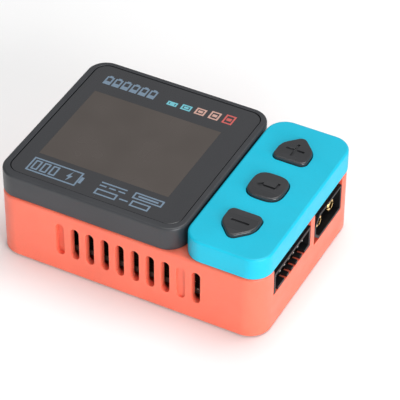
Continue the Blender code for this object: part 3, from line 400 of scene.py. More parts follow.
LCD_FILM = UnlitScreen("display_panel_film", "lcd_film", (0.10, 0.085, 0.075), 0.35)
GOLD = BareMetal("gold_plating", "gold_contact", (0.95, 0.68, 0.26), 0.18, tarnish=0.12)
TIN = BareMetal("tin_plating", "tin_contact", (0.86, 0.85, 0.82), 0.22, tarnish=0.10)
STEEL = BareMetal("zinc_plated_steel", "steel", (0.62, 0.62, 0.64), 0.28, grain=(1.0, 1.0, 0.2))
SHELL_STEEL = BareMetal("drawn_shell_steel", "steel", (0.70, 0.71, 0.73), 0.25)
ALUMINIUM = BareMetal("extruded_aluminium", "aluminium", (0.78, 0.79, 0.80), 0.34, grain=(1.0, 0.05, 1.0),
                      lines=0.25 * MM, depth=0.012 * MM, tarnish=0.15)
BOARD = CircuitBoard("circuit_board", "board_laminate", (0.008, 0.020, 0.013), 0.36)
RUBBER = SoftRubber("foot_rubber", "foot_rubber", (0.022, 0.022, 0.022), 0.80)
FERRITE = SoftRubber("pressed_ferrite", "ferrite", (0.075, 0.075, 0.080), 0.72)
RIBBON_FILM = PrintedInk("ribbon_film", "ribbon_film", (0.48, 0.22, 0.04), 0.35)
WINDING = WoundWire("copper_winding", "copper_winding", (0.80, 0.34, 0.14), 0.25)
PAPER = StudioPaper("studio_paper", "", (0.96, 0.96, 0.96), 0.7)

# The nodes that keep the shape of their solids.
PLAIN_NODES: dict[str, Finish] = {
    "lcd_panel": LCD_FILM, "backlight_tray": WHITE_PLASTIC, "display_ribbon": RIBBON_FILM,
    "button_board": BOARD, "fan_stator": WINDING, "main_board": BOARD, "heat_sink": ALUMINIUM,
    "power_inductor": FERRITE, "controller_chip": NYLON, "buzzer": NYLON,
    **dict.fromkeys(("capacitor_1", "capacitor_2", "capacitor_3"), ALUMINIUM),
    **{f"{kind.value}_switch": FAN_PLASTIC for kind in KeyKind},
    **{f"{kind.value}_plunger": WHITE_PLASTIC for kind in KeyKind}}


def about(middle: float, width: float) -> Span:
    """Return the reach of a width about its middle."""
    return middle - width / 2, middle + width / 2


def boxed(node: str) -> tuple[Vector, Vector, Vector]:
    """Return a node's lowest corner, highest corner and middle."""
    low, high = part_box(node)
    return low, high, (low + high) / 2


def grown(low: Vector, high: Vector, amount: float) -> tuple[Vector, Vector]:
    """Return a box grown by an amount on every side."""
    step = Vector((amount, amount, amount))
    return low - step, high + step


class Form:
    """A closed mesh in the making."""

    def __init__(self) -> None:
        """Start with no geometry."""
        self.bm = bmesh.new()

    @classmethod
    def block(cls, low: Point, high: Point) -> "Form":
        """Return a box from its lowest to its highest corner."""
        form = cls()
        low, high = Vector(low), Vector(high)
        place = Matrix.Translation((low + high) / 2) @ Matrix.Diagonal((*(high - low), 1.0))
        bmesh.ops.create_cube(form.bm, size=1.0, matrix=place)
        return form

    @classmethod
    def bar(cls, x: Span, y: Span, z: Span) -> "Form":
        """Return a box from its reach along each axis."""
        return cls.block(*zip(x, y, z))

    @classmethod
    def rod(cls, centre: Point, radius: float, low: float, high: float, axis: Axis = Axis.Z,
            steps: int = 32) -> "Form":
        """Return a cylinder along an axis.

        Args:
            centre: its middle on the other two axes, in X, Y, Z order.
            radius: its radius.
            low: its lower end along the axis.
            high: its upper end along the axis.
            axis: the axis it runs along, X or Z.
            steps: how many sides it has.

        Returns:
            The cylinder.
        """
        turn = Matrix.Rotation(math.pi / 2, 4, "Y") if axis is Axis.X else Matrix.Identity(4)
        place = list(centre)
        place.insert(axis.value, (low + high) / 2)
        form = cls()
        bmesh.ops.create_cone(form.bm, cap_ends=True, segments=steps, radius1=radius, radius2=radius,
                              depth=high - low, matrix=Matrix.Translation(place) @ turn)
        return form

    @classmethod
    def plate(cls, outline: Sequence[Point], low: float, high: float, axis: Axis = Axis.Z) -> "Form":
        """Return a flat outline given thickness along an axis.

        Args:
            outline: its corners on the other two axes, in X, Y, Z order.
            low: where its thickness starts.
            high: where its thickness ends.
            axis: the axis of its thickness.

        Returns:
            The plate.
        """
        form = cls()
        verts = []
        for pair in outline:
            place = list(pair)
            place.insert(axis.value, low)
            verts.append(form.bm.verts.new(place))
        face = form.bm.faces.new(verts)
        grown_face = bmesh.ops.extrude_face_region(form.bm, geom=[face])
        moved = [item for item in grown_face["geom"] if isinstance(item, bmesh.types.BMVert)]
        travel = [0.0, 0.0, 0.0]
        travel[axis.value] = high - low
        bmesh.ops.translate(form.bm, verts=moved, vec=travel)
        bmesh.ops.recalc_face_normals(form.bm, faces=form.bm.faces)
        return form

    @classmethod
    def turned(cls, profile: Sequence[Point], centre: Point, steps: int = 48) -> "Form":
        """Return a profile of (radius, height) pairs spun about an upright line."""
        form = cls()
        verts = [form.bm.verts.new((centre[0] + radius, centre[1], height)) for radius, height in profile]
        edges = [form.bm.edges.new(pair) for pair in zip(verts, verts[1:])]
        bmesh.ops.spin(form.bm, geom=verts + edges, cent=(centre[0], centre[1], 0.0), axis=(0.0, 0.0, 1.0),
                       angle=2 * math.pi, steps=steps, use_merge=True)
        bmesh.ops.remove_doubles(form.bm, verts=form.bm.verts, dist=0.001 * MM)
        bmesh.ops.recalc_face_normals(form.bm, faces=form.bm.faces)
        return form

    def bevel(self, edges: Iterable[bmesh.types.BMEdge], size: float, steps: int) -> "Form":
        """Round some edges with an arc."""
        bmesh.ops.bevel(self.bm, geom=list(edges), offset=size, offset_type="OFFSET", segments=steps,
                        profile=0.5, affect="EDGES", material=-1, clamp_overlap=True)
        return self

    def ends(self, axis: Axis) -> Span:
        """Return the form's reach along an axis."""
        levels = [vert.co[axis.value] for vert in self.bm.verts]
        return min(levels), max(levels)

    def round_along(self, axis: Axis, size: float, steps: int = 10,
                    where: tuple[Axis, int] | None = None) -> "Form":
        """Round the edges that run along an axis.

        Args:
            axis: the edges' direction.
            size: the radius.
            steps: how many steps each arc has.
            where: an axis and a side (1 or -1), to take only the edges on that side.

        Returns:
            This form.
        """
        picked = []
        for edge in self.bm.edges:
            first, second = (vert.co for vert in edge.verts)
            if abs((second - first).normalized()[axis.value]) < 0.999:
                continue
            if where is None or first[where[0].value] * where[1] > sum(self.ends(where[0])) / 2 * where[1]:
                picked.append(edge)
        return self.bevel(picked, size, steps)

    def round_rim(self, axis: Axis, side: int, size: float, steps: int = 4) -> "Form":
        """Round the edges around the face at one end of an axis."""
        self.bm.normal_update()
        end = self.ends(axis)[side > 0]
        rim = [edge for edge in self.bm.edges
               if all(abs(vert.co[axis.value] - end) < 0.002 * MM for vert in edge.verts)
               and any(abs(face.normal[axis.value]) < 0.5 for face in edge.link_faces)]
        return self.bevel(rim, size, steps)

    def turn(self, angle: float, centre: Point, axis: Axis = Axis.Z) -> "Form":
        """Turn the form about a line through a centre."""
        spin = Matrix.Rotation(angle, 3, axis.name)
        bmesh.ops.rotate(self.bm, verts=self.bm.verts, cent=centre, matrix=spin)
        return self

    def with_forms(self, others: Iterable["Form"]) -> "Form":
        """Take in other forms as separate closed bodies, and free them."""
        for other in others:
            spare = bpy.data.meshes.new("spare")
            other.bm.to_mesh(spare)
            other.bm.free()
            self.bm.from_mesh(spare)
            bpy.data.meshes.remove(spare)
        return self

    def object(self, name: str) -> bpy.types.Object:
        """Turn the form into an object at the origin, and free it."""
        mesh = bpy.data.meshes.new(name)
        self.bm.to_mesh(mesh)
        self.bm.free()
        piece = bpy.data.objects.new(name, mesh)
        bpy.context.scene.collection.objects.link(piece)
        return piece


def apply_modifiers(piece: bpy.types.Object) -> None:
    """Make what the modifiers show the piece's own mesh."""
    bpy.context.view_layer.update()
    evaluated = piece.evaluated_get(bpy.context.evaluated_depsgraph_get())
    mesh = bpy.data.meshes.new_from_object(evaluated)
    old = piece.data
    piece.modifiers.clear()
    piece.data = mesh
    mesh.name = piece.name
    bpy.data.meshes.remove(old)


def shape(piece: bpy.types.Object, join: Join, *forms: Form) -> None:
    """Cut forms from a piece, or add them to it.

    Args:
        piece: the piece that changes.
        join: whether the forms are cut or added.
        forms: closed forms; they are used up.
    """
    tool = Form().with_forms(forms).object("tool")
    modifier = piece.modifiers.new("join", "BOOLEAN")
    modifier.object = tool
    modifier.operation = join.value
    modifier.solver = "EXACT"
    apply_modifiers(piece)
    spare = tool.data
    bpy.data.objects.remove(tool, do_unlink=True)
    bpy.data.meshes.remove(spare)


def soften(piece: bpy.types.Object, size: float, steps: int, angle: float) -> None:
    """Round every sharp edge of a piece a little and shade it smoothly.

    Args:
        piece: the piece.
        size: the radius, or 0 to leave the edges as they are.
        steps: how many steps each arc has.
        angle: the least angle in degrees that counts as sharp.
    """
    if size > 0.0:
        rounding = piece.modifiers.new("soften", "BEVEL")
        rounding.width = size
        rounding.segments = steps
        rounding.limit_method = "ANGLE"
        rounding.angle_limit = math.radians(angle)
        rounding.miter_outer = "MITER_ARC"
        apply_modifiers(piece)
    piece.data.shade_smooth()
    piece.data.set_sharp_from_angle(angle=math.radians(40.0))
    weighting = piece.modifiers.new("shading", "WEIGHTED_NORMAL")
    weighting.keep_sharp = True
    weighting.weight = 100
    apply_modifiers(piece)


class Workshop:
    """Dresses pieces in finishes and hangs them on the bodies."""

    def __init__(self) -> None:
        """Start with no materials made."""
        self.made: dict[str, bpy.types.Material] = {}

    def material(self, finish: Finish) -> bpy.types.Material:
        """Return a finish's material, made the first time it is asked for."""
        if finish.name not in self.made:
            self.made[finish.name] = finish.build()
        return self.made[finish.name]

    def hang(self, piece: bpy.types.Object, finish: Finish, node: str = "", edge: float = 0.0,
             steps: int = 2, angle: float = 45.0, body: str = ROOT) -> None:
        """Soften and dress a new piece and make it ride on a body.

        Args:
            piece: the finished piece.
            finish: what it is made of.
            node: the node that it stands for, if any.
            edge: the radius of its softened edges, or 0 for none.
            steps: how many steps each of those arcs has.
            angle: the least angle in degrees that counts as an edge.
            body: the body it moves with.
        """
        soften(piece, edge, steps, angle)
        piece.data.materials.clear()
        piece.data.materials.append(self.material(finish))
        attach(piece, body)
        if node:
            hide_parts(node)
        log.info("%s: %d faces, rides on %s", piece.name, len(piece.data.polygons), body)

    def dress(self, node: str, finish: Finish) -> None:
        """Give a node a finish and leave its shape."""
        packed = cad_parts[node]
        packed.data.materials.clear()
        packed.data.materials.append(self.material(finish))
        log.info("%s keeps its own shape", node)


@dataclass
class Lid:
    """What the three big mouldings share: round upright corners, a rolled rim and an even wall."""

    shop: Workshop
    corner: float = 5.4 * MM
    rim: float = 0.6 * MM
    wall: float = 1.8 * MM
    seam: float = 0.08 * MM

    def above_case(self, node: str) -> tuple[Vector, Vector]:
        """Return the part of a node's box that starts a seam above the case."""
        low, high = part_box(node)
        return Vector((low.x, low.y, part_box("case_shell")[1].z + self.seam)), high

    def outside(self, low: Vector, high: Vector, name: str) -> bpy.types.Object:
        """Return the outer shape as a solid piece."""
        body = Form.block(low, high).round_along(Axis.Z, self.corner, 16)
        return body.round_rim(Axis.Z, 1, self.rim, 6).object(name)

    def hollow(self, low: Vector, high: Vector, top: float, steps: int = 10) -> Form:
        """Return the cutter of the hollow, open below and closed at the top level."""
        form = Form.block((low.x + self.wall, low.y + self.wall, low.z - MM),
                          (high.x - self.wall, high.y - self.wall, top))
        return form.round_along(Axis.Z, self.corner - self.wall, steps)


@dataclass
class CaseShell(Lid):
    """The coral walls and deck, with the vents and the openings for the ports."""

    corner: float = 5.8 * MM
    rim: float = 0.8 * MM
    wall: float = 2.0 * MM
    deck: float = 1.6 * MM
    vent_pitch: float = 4.27 * MM
    vent_width: float = 2.4 * MM
    vent_height: float = 9.9 * MM
    vent_rise: float = 5.3 * MM
    first_vent: float = -18.89 * MM
    vent_depths: tuple[float, ...] = (1.4 * MM, *(9 * MM,) * 7, 0.6 * MM, 9 * MM)
    back_vents: int = 9
    port_gap: float = 0.2 * MM
    bite: float = 0.1 * MM
    edge: float = 0.22 * MM

    def vent(self, x: float, face: float, depth: float) -> Form:
        """Return the cutter of one upright slot with round ends.

        Args:
            x: the slot's middle along the wall.
            face: where the wall's outer face is along Y.
            depth: how far the slot goes in.

        Returns:
            The cutter.
        """
        low_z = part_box("case_shell")[0].z + self.vent_rise
        end = face - math.copysign(min(depth, self.wall + MM), face)
        reach = sorted((face + math.copysign(MM, face), end))
        slot = Form.bar(about(x, self.vent_width), reach, (low_z, low_z + self.vent_height))
        return slot.round_along(Axis.Y, self.vent_width * SLOT_ROUND, 8)

    def vents(self) -> list[Form]:
        """Return the cutters of the front and back rows."""
        low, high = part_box("case_shell")
        row = [self.vent(self.first_vent + index * self.vent_pitch, low.y, depth)
               for index, depth in enumerate(self.vent_depths)]
        start = -(self.back_vents - 1) * self.vent_pitch / 2
        row += [self.vent(start + index * self.vent_pitch, high.y, self.wall + MM)
                for index in range(self.back_vents)]
        return row

    def openings(self) -> list[Form]:
        """Return the notches for the two right-hand sockets and the holes for the two left-hand ones."""
        low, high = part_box("case_shell")
        cutters = []
        for node in ("output_socket", "balance_socket"):
            first, last = grown(*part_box(node), self.port_gap)
            cutters.append(Form.bar((high.x - self.wall - self.bite, high.x + MM), (first.y, last.y),
                                    (first.z, high.z + MM)))
        reach = (low.x - MM, low.x + self.wall + self.bite)
        first, last = grown(*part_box("usb_c_shell"), self.port_gap)
        usb = Form.bar(reach, (first.y, last.y), (first.z, last.z))
        usb.round_along(Axis.X, (last.z - first.z) * SLOT_ROUND, 8)
        socket = Form.plate(TwoPinSocket.outline("input_socket", self.port_gap), *reach, Axis.X)
        return [*cutters, socket, usb]

    def build(self) -> None:
        """Make the shell and hang it."""
        low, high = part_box("case_shell")
        shell = self.outside(low, high, "case_body")
        shape(shell, Join.CUT, self.hollow(low, high, high.z - self.deck, 12))
        shape(shell, Join.CUT, *self.vents())
        shape(shell, Join.CUT, *self.openings())
        self.shop.hang(shell, CORAL, "case_shell", self.edge, 3)


@dataclass
class Underside:
    """The bottom cover with its grille, the feet and the case screws."""

    shop: Workshop
    corner: float = 3.6 * MM
    thickness: float = 1.8 * MM
    grille_radius: float = 13.9 * MM
    slot_width: float = 1.8 * MM
    slot_pitch: float = 3.4 * MM
    seat_gap: float = 0.2 * MM
    foot_seat: float = 0.8 * MM
    foot_roll: float = 0.35 * MM
    dish_depth: float = 0.08 * MM
    head_seat: float = 1.1 * MM
    head_height: float = 0.8 * MM
    dome_height: float = 0.45 * MM
    shank: float = 0.9 * MM
    thread_pitch: float = 0.6 * MM
    thread_root: float = 0.74
    neck: float = 0.2 * MM
    cross: float = 1.9 * MM
    cross_width: float = 0.42 * MM
    cross_depth: float = 0.55 * MM
    edge: float = 0.15 * MM

    def grille(self) -> list[Form]:
        """Return the cutters of the slots under the fan."""
        low, _, middle = boxed("fan_frame")
        count = int((self.grille_radius - self.slot_width) / self.slot_pitch)
        cutters = []
        for index in range(-count, count + 1):
            offset = index * self.slot_pitch
            half = math.sqrt(self.grille_radius ** 2 - offset ** 2) - self.slot_width / 2
            x, y = about(middle.x + offset, self.slot_width), about(middle.y, 2 * half)
            slot = Form.bar(x, y, (-MM, low.z))
            cutters.append(slot.round_along(Axis.Z, self.slot_width * SLOT_ROUND, 6))
        return cutters

    def seat(self, node: str, depth: float, steps: int) -> Form:
        """Return the cutter of a round seat for a foot or a screw head."""
        low, high, middle = boxed(node)
        radius = (high.x - low.x) / 2 + self.seat_gap
        return Form.rod(middle.xy, radius, -MM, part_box("bottom_cover")[0].z + depth, steps=steps)

    def cover(self) -> None:
        """Make the cover: a plate with seats for the feet and the screw heads, and a grille."""
        low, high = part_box("bottom_cover")
        plate = Form.block(low, (high.x, high.y, low.z + self.thickness))
        piece = plate.round_along(Axis.Z, self.corner, 12).object("floor_cover")
        seats = []
        for number in range(1, 5):
            seats.append(self.seat(f"rubber_foot_{number}", self.foot_seat, 48))
            seats.append(self.seat(f"case_screw_{number}", self.head_seat, 32))
        shape(piece, Join.CUT, *seats)
        shape(piece, Join.CUT, *self.grille())
        self.shop.hang(piece, CORAL, "bottom_cover", self.edge)

    def foot(self, number: int) -> None:
        """Make one rubber foot: a disc with a rolled edge and a shallow dish."""
        node = f"rubber_foot_{number}"
        low, high, middle = boxed(node)
        radius, roll = (high.x - low.x) / 2, self.foot_roll
        arc = [(radius - roll + roll * math.cos(angle), low.z + roll - roll * math.sin(angle))
               for angle in QUARTER_TURN]
        dish = low.z + self.dish_depth
        profile = [(0.0, high.z), (radius, high.z), *arc, (radius * 0.78, low.z), (radius * 0.72, dish),
                   (0.0, dish)]
        self.shop.hang(Form.turned(profile, middle.xy).object(f"foot_{number}"), RUBBER, node)

    def screw(self, number: int) -> None:
        """Make one pan-head screw with a cross recess and a threaded shank."""
        node = f"case_screw_{number}"
        low, high, middle = boxed(node)
        head, head_top = (high.x - low.x) / 2, low.z + self.head_height
        shank, pitch = self.shank, self.thread_pitch
        dome = [(head * math.sin(angle), low.z + self.dome_height * (1 - math.cos(angle)))
                for angle in QUARTER_TURN]
        thread = []
        for index in range(int((high.z - head_top - 2 * self.neck) / pitch)):
            start = head_top + self.neck + index * pitch
            thread += [(shank * self.thread_root, start), (shank, start + pitch / 2),
                       (shank * self.thread_root, start + pitch)]
        profile = [*dome, (head, head_top), *thread, (shank * 0.3, high.z), (0.0, high.z)]
        piece = Form.turned(profile, middle.xy, 32).object(f"floor_screw_{number}")
        for angle in (0.0, math.pi / 2):
            bar = Form.bar(about(middle.x, self.cross), about(middle.y, self.cross_width),
                           (low.z - MM, low.z + self.cross_depth))
            shape(piece, Join.CUT, bar.turn(angle + math.radians(20.0 + 35.0 * number), middle))
        self.shop.hang(piece, STEEL, node)

    def build(self) -> None:
        """Make the cover, the feet and the screws."""
        self.cover()
        for number in range(1, 5):
            self.foot(number)
            self.screw(number)


@dataclass
class Display(Lid):
    """The graphite housing, its printed cover glass, and the switched-off screen behind it."""

    pocket_corner: float = 3.6 * MM
    pocket_depth: float = 0.3 * MM
    shelf: float = 1.4 * MM
    glass_gap: float = 0.2 * MM
    glass_edge: float = 0.16 * MM
    screen_low: tuple[float, float] = (-31.34 * MM, -14.77 * MM)
    screen_high: tuple[float, float] = (5.64 * MM, 13.94 * MM)
    screen_depth: float = 0.25 * MM
    screen_joint: float = 0.015 * MM
    screen_drop: float = 0.004 * MM
    window_gap: float = 0.3 * MM
    window_depth: float = 3 * MM
    print_height: float = 0.02 * MM

    def housing(self) -> None:
        """Make the housing: a rounded frame with a pocket for the glass and a window under it."""
        low, high = self.above_case("screen_housing")
        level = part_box("display_glass")[0].z
        piece = self.outside(low, high, "display_housing")
        first, last = grown(*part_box("display_glass"), self.glass_gap)
        pocket = Form.block((first.x, first.y, level - self.pocket_depth), (last.x, last.y, high.z + MM))
        shape(piece, Join.CUT, self.hollow(low, high, level - self.shelf),
              pocket.round_along(Axis.Z, self.pocket_corner, 12))
        first, last = grown(*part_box("lcd_panel"), self.window_gap)
        shape(piece, Join.CUT, Form.bar((first.x, last.x), (first.y, last.y),
                                        (level - self.window_depth, level + MM)))
        self.shop.hang(piece, GRAPHITE, "screen_housing", 0.10 * MM)

    def glass(self) -> None:
        """Make the cover glass with a polished edge, and the screen area set into it."""
        low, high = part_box("display_glass")
        slab = Form.block(low, high).round_along(Axis.Z, self.pocket_corner - self.glass_gap, 14)
        piece = slab.round_rim(Axis.Z, 1, self.glass_edge).object("cover_glass")
        floor, joint = high.z - self.screen_depth, self.screen_joint
        shape(piece, Join.CUT, Form.block((*self.screen_low, floor), (*self.screen_high, high.z + MM)))
        self.shop.hang(piece, GLASS, "display_glass")
        first, last = self.screen_low, self.screen_high
        area = Form.block((first[0] + joint, first[1] + joint, floor + joint),
                          (last[0] - joint, last[1] - joint, high.z - self.screen_drop))
        self.shop.hang(area.object("screen_area"), SCREEN)

    def build(self) -> None:
        """Make the housing, the glass and its marks."""
        self.housing()
        self.glass()
        PrintedMarks(self.shop, self).build()


@dataclass
class PrintedMarks:
    """Plain pictures printed on the glass around the screen: cells, a battery, a bolt and line symbols."""

    shop: Workshop
    display: Display
    stroke: float = 0.45 * MM
    bite: float = 0.003 * MM

    def levels(self) -> Span:
        """Return the ink's lower and upper level."""
        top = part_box("display_glass")[1].z
        return top - self.bite, top + self.display.print_height

    def bar(self, x: float, y: float, width: float, height: float) -> Form:
        """Return one printed rectangle, by its middle."""
        return Form.bar(about(x, width), about(y, height), self.levels())

    def ring(self, x: float, y: float, width: float, height: float) -> list[Form]:
        """Return an outlined rectangle as four bars that meet without overlap."""
        line = self.stroke
        rise, run = (height - line) / 2, (width - line) / 2
        return [*(self.bar(x, y + side * rise, width, line) for side in (1, -1)),
                *(self.bar(x + side * run, y, line, height - 2 * line) for side in (-1, 1))]

    def bolt(self, x: float, y: float, size: float) -> Form:
        """Return a zigzag bolt."""
        corners = ((0.12, 1.0), (-0.42, -0.12), (-0.04, -0.12), (-0.14, -1.0), (0.42, 0.18), (0.04, 0.18))
        return Form.plate([(x + across * size, y + up * size) for across, up in corners], *self.levels())

    def print(self, name: str, forms: Sequence[Form], finish: Finish) -> None:
        """Hang some forms as one printed piece."""
        self.shop.hang(Form().with_forms(forms).object(name), finish)

    def cells(self, x: float, y: float) -> None:
        """Print the row of six cells, from the first cell's middle."""
        forms = []
        for index in range(6):
            middle = x + index * 2.6 * MM
            forms += self.ring(middle, y - 0.2 * MM, 2.1 * MM, 3.3 * MM)
            forms.append(self.bar(middle, y + 1.65 * MM, 1.0 * MM, 0.4 * MM))
            forms.append(self.bar(middle, y - 0.95 * MM, 1.2 * MM, 0.9 * MM))
        self.print("cell_marks", forms, PALE_INK)

    def steps(self, x: float, base: float) -> None:
        """Print the five rising level marks, from the first one's middle and their base line."""
        for index, ink in enumerate((AQUA_INK, AQUA_INK, BLUSH_INK, BLUSH_INK, RED_INK)):
            height = (1.6 + 0.5 * index) * MM
            place = (x + index * 4.0 * MM, base + height / 2)
            fill = self.bar(*place, 1.3 * MM, 0.35 * MM + 0.2 * height)
            self.print(f"level_mark_{index + 1}", [*self.ring(*place, 2.8 * MM, height), fill], ink)

    def battery(self, x: float, y: float) -> None:
        """Print a battery with three cells and a bolt, by its middle."""
        forms = self.ring(x, y, 14.2 * MM, 5.4 * MM)
        forms.append(self.bar(x + 7.6 * MM, y, 0.8 * MM, 2.4 * MM))
        for index in range(3):
            forms += self.ring(x - 5.2 * MM + index * 2.5 * MM, y, 1.9 * MM, 3.6 * MM)
        forms.append(self.bolt(x + 4.2 * MM, y, 1.9 * MM))
        self.print("battery_mark", forms, PALE_INK)

    def supply(self, x: float, y: float) -> None:
        """Print the two rows of line symbols, from their left end."""
        upper, lower = y + 1.3 * MM, y - 1.7 * MM
        forms = [self.bar(x + 3.6 * MM, y + 1.9 * MM, 7.2 * MM, self.stroke)]
        forms += [self.bar(x + (0.95 + 2.65 * index) * MM, y + 0.7 * MM, 1.9 * MM, self.stroke)
                  for index in range(3)]
        forms += self.ring(x + 13.4 * MM, upper, 8.2 * MM, 2.4 * MM)
        forms.append(self.bar(x + 13.4 * MM, upper, 5.6 * MM, 0.6 * MM))
        forms += self.ring(x + 3.0 * MM, lower, 6.0 * MM, 2.2 * MM)
        forms.append(self.bar(x + 8.0 * MM, lower, 2.4 * MM, self.stroke))
        forms += self.ring(x + 12.6 * MM, lower, 5.2 * MM, 2.2 * MM)
        self.print("supply_marks", forms, PALE_INK)

    def build(self) -> None:
        """Print the marks in the four places around the screen."""
        low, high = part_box("display_glass")
        left = self.display.screen_low[0]
        above = (self.display.screen_high[1] + high.y) / 2
        below = (self.display.screen_low[1] + low.y) / 2
        self.cells(left + 1.1 * MM, above)
        self.steps(-10.9 * MM, above - 1.9 * MM)
        self.battery(left + 7.2 * MM, below)
        self.supply(-11.6 * MM, below)


@dataclass
class ButtonPod(Lid):
    """The blue cover and its three keys with sunk symbols."""

    rim: float = 0.65 * MM
    roof: float = 1.5 * MM
    key_width: float = 9.3 * MM
    key_length: float = 9.9 * MM
    enter_extra: float = 0.15 * MM
    shoulder: float = 5.6 * MM
    key_corner: float = 1.7 * MM
    key_rim: float = 0.45 * MM
    key_gap: float = 0.2 * MM
    flange: float = 0.8 * MM
    flange_thickness: float = 0.6 * MM
    squircle: float = 3.0
    stroke: float = 0.72 * MM
    depth: float = 0.45 * MM

    def key_form(self, kind: KeyKind, grow: float, low: float, high: float) -> Form:
        """Return a key's outline given height.

        Args:
            kind: which key.
            grow: how far the outline is grown.
            low: its lower level.
            high: its upper level.

        Returns:
            The form, with its upright edges rounded.
        """
        centre = boxed(f"{kind.value}_plunger")[2]
        if kind is KeyKind.ENTER:
            half = self.key_width / 2 + self.enter_extra + grow
            form = Form.rod(centre.xy, half, low, high, steps=64)
            for vert in form.bm.verts:
                offset = vert.co - centre
                angle = math.atan2(offset.y, offset.x)
                reach = abs(math.cos(angle)) ** self.squircle + abs(math.sin(angle)) ** self.squircle
                reach = half * reach ** (-1.0 / self.squircle)
                vert.co.x = centre.x + reach * math.cos(angle)
                vert.co.y = centre.y + reach * math.sin(angle)
            return form
        half = self.key_width / 2 + grow
        base = -self.key_length / 2 - grow
        shoulder = base + self.shoulder + grow
        tip = self.key_length / 2 + grow + self.key_corner * 0.25
        house = ((-half, base), (half, base), (half, shoulder), (0.0, tip), (-half, shoulder))
        side = 1.0 if kind is KeyKind.PLUS else -1.0
        outline = [(centre.x + side * x, centre.y + side * y) for x, y in house]
        return Form.plate(outline, low, high).round_along(Axis.Z, self.key_corner + grow, 8)

    def cover(self) -> None:
        """Make the blue cover with a hole for each key."""
        low, high = self.above_case("button_pod")
        piece = self.outside(low, high, "pod_cover")
        shape(piece, Join.CUT, self.hollow(low, high, high.z - self.roof))
        shape(piece, Join.CUT, *(self.key_form(kind, self.key_gap, high.z - self.roof - MM, high.z + MM)
                                 for kind in KeyKind))
        self.shop.hang(piece, SKY, "button_pod", 0.14 * MM, 3)

    def symbol(self, kind: KeyKind, top: float) -> list[Form]:
        """Return the cutters of a key's symbol."""
        centre = boxed(f"{kind.value}_plunger")[2]
        span = (top - self.depth, top + MM)

        def groove(x: float, y: float, width: float, height: float) -> Form:
            """Return one straight groove, by its middle from the key's own, all in millimetres."""
            return Form.bar(about(centre.x + x * MM, width * MM), about(centre.y + y * MM, height * MM), span)

        line = self.stroke / MM
        if kind is KeyKind.MINUS:
            return [groove(0.0, 0.6, 4.9, line)]
        if kind is KeyKind.PLUS:
            return [groove(0.0, -0.6, 5.0, line), groove(0.0, -0.6, line, 5.0)]
        head = [(centre.x + x * MM, centre.y + y * MM) for x, y in ((-3.1, -0.5), (-1.3, -1.6), (-1.3, 0.6))]
        return [groove(0.5, -0.5, 4.4, line), Form.plate(head, *span), groove(2.35, 0.45, line, 2.6)]

    def key(self, kind: KeyKind) -> None:
        """Make one key: a cap with a rolled edge and a sunk symbol, on its flange."""
        node = f"{kind.value}_button"
        low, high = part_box(node)
        cap = self.key_form(kind, 0.0, low.z, high.z).round_rim(Axis.Z, 1, self.key_rim, 6)
        piece = cap.object(f"{kind.value}_key")
        shape(piece, Join.ADD, self.key_form(kind, self.flange, low.z, low.z + self.flange_thickness))
        for groove in self.symbol(kind, high.z):
            shape(piece, Join.CUT, groove)
        self.shop.hang(piece, KEY_BLACK, node, 0.06 * MM, angle=60.0, body=node)

    def build(self) -> None:
        """Make the cover and the keys."""
        self.cover()
        for kind in KeyKind:
            self.key(kind)


@dataclass
class TwoPinSocket:
    """A two-pin power socket: a black shell with two cut corners around two split pins."""

    shop: Workshop
    label: str
    side: int
    wall: float = 0.7 * MM
    back: float = 2.2 * MM
    corner: float = 0.35 * MM
    well_corner: float = 0.3 * MM
    hole_gap: float = 0.05 * MM
    tip_round: float = 0.45 * MM
    slit: float = 0.42 * MM
    slit_depth: float = 5.0 * MM
    bore: float = 0.95 * MM

    @staticmethod
    def outline(node: str, grow: float, chamfer: float = 2.6 * MM) -> list[Point]:
        """Return the shell's outline across X, as Y and Z pairs.

        Args:
            node: the shell's node.
            grow: how far the outline is grown.
            chamfer: the size of the two cut corners.

        Returns:
            The six corners.
        """
        low, high = grown(*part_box(node), grow)
        cut = chamfer + grow * 0.6
        return [(low.y, low.z + cut), (low.y + cut, low.z), (high.y, low.z), (high.y, high.z),
                (low.y + cut, high.z), (low.y, high.z - cut)]

    def shell(self) -> None:
        """Make the shell with its well and the holes for the pins."""
        node = f"{self.label}_socket"
        low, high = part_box(node)
        inner = (low.x + self.back, high.x + MM) if self.side > 0 else (low.x - MM, high.x - self.back)
        body = Form.plate(self.outline(node, 0.0), low.x, high.x, Axis.X)
        piece = body.round_along(Axis.X, self.corner, 3).object(f"{self.label}_shell")
        well = Form.plate(self.outline(node, -self.wall), *inner, Axis.X)
        shape(piece, Join.CUT, well.round_along(Axis.X, self.well_corner, 3))
        holes = []
        for number in (1, 2):
            first, last, centre = boxed(f"{self.label}_pin_{number}")
            radius = (last.z - first.z) / 2 + self.hole_gap
            holes.append(Form.rod(centre.yz, radius, low.x - MM, high.x + MM, Axis.X, 40))
        shape(piece, Join.CUT, *holes)
        self.shop.hang(piece, NYLON, node, 0.15 * MM, 3)

    def pin(self, number: int) -> None:
        """Make one gold pin: rounded at the tip, bored and split crosswise."""
        node = f"{self.label}_pin_{number}"
        low, high, centre = boxed(node)
        radius = (high.z - low.z) / 2
        tip = high.x if self.side > 0 else low.x
        body = Form.rod(centre.yz, radius, low.x, high.x, Axis.X, 40)
        piece = body.round_rim(Axis.X, self.side, self.tip_round, 5).object(f"{self.label}_contact_{number}")
        span = sorted((tip + self.side * MM, tip - self.side * self.slit_depth))
        across = 2 * (radius + MM)
        for form in (Form.bar(span, about(centre.y, across), about(centre.z, self.slit)),
                     Form.bar(span, about(centre.y, self.slit), about(centre.z, across)),
                     Form.rod(centre.yz, self.bore, *span, Axis.X, 24)):
            shape(piece, Join.CUT, form)
        self.shop.hang(piece, GOLD, node, 0.05 * MM)

    def build(self) -> None:
        """Make the shell and both pins."""
        self.shell()
        for number in (1, 2):
            self.pin(number)


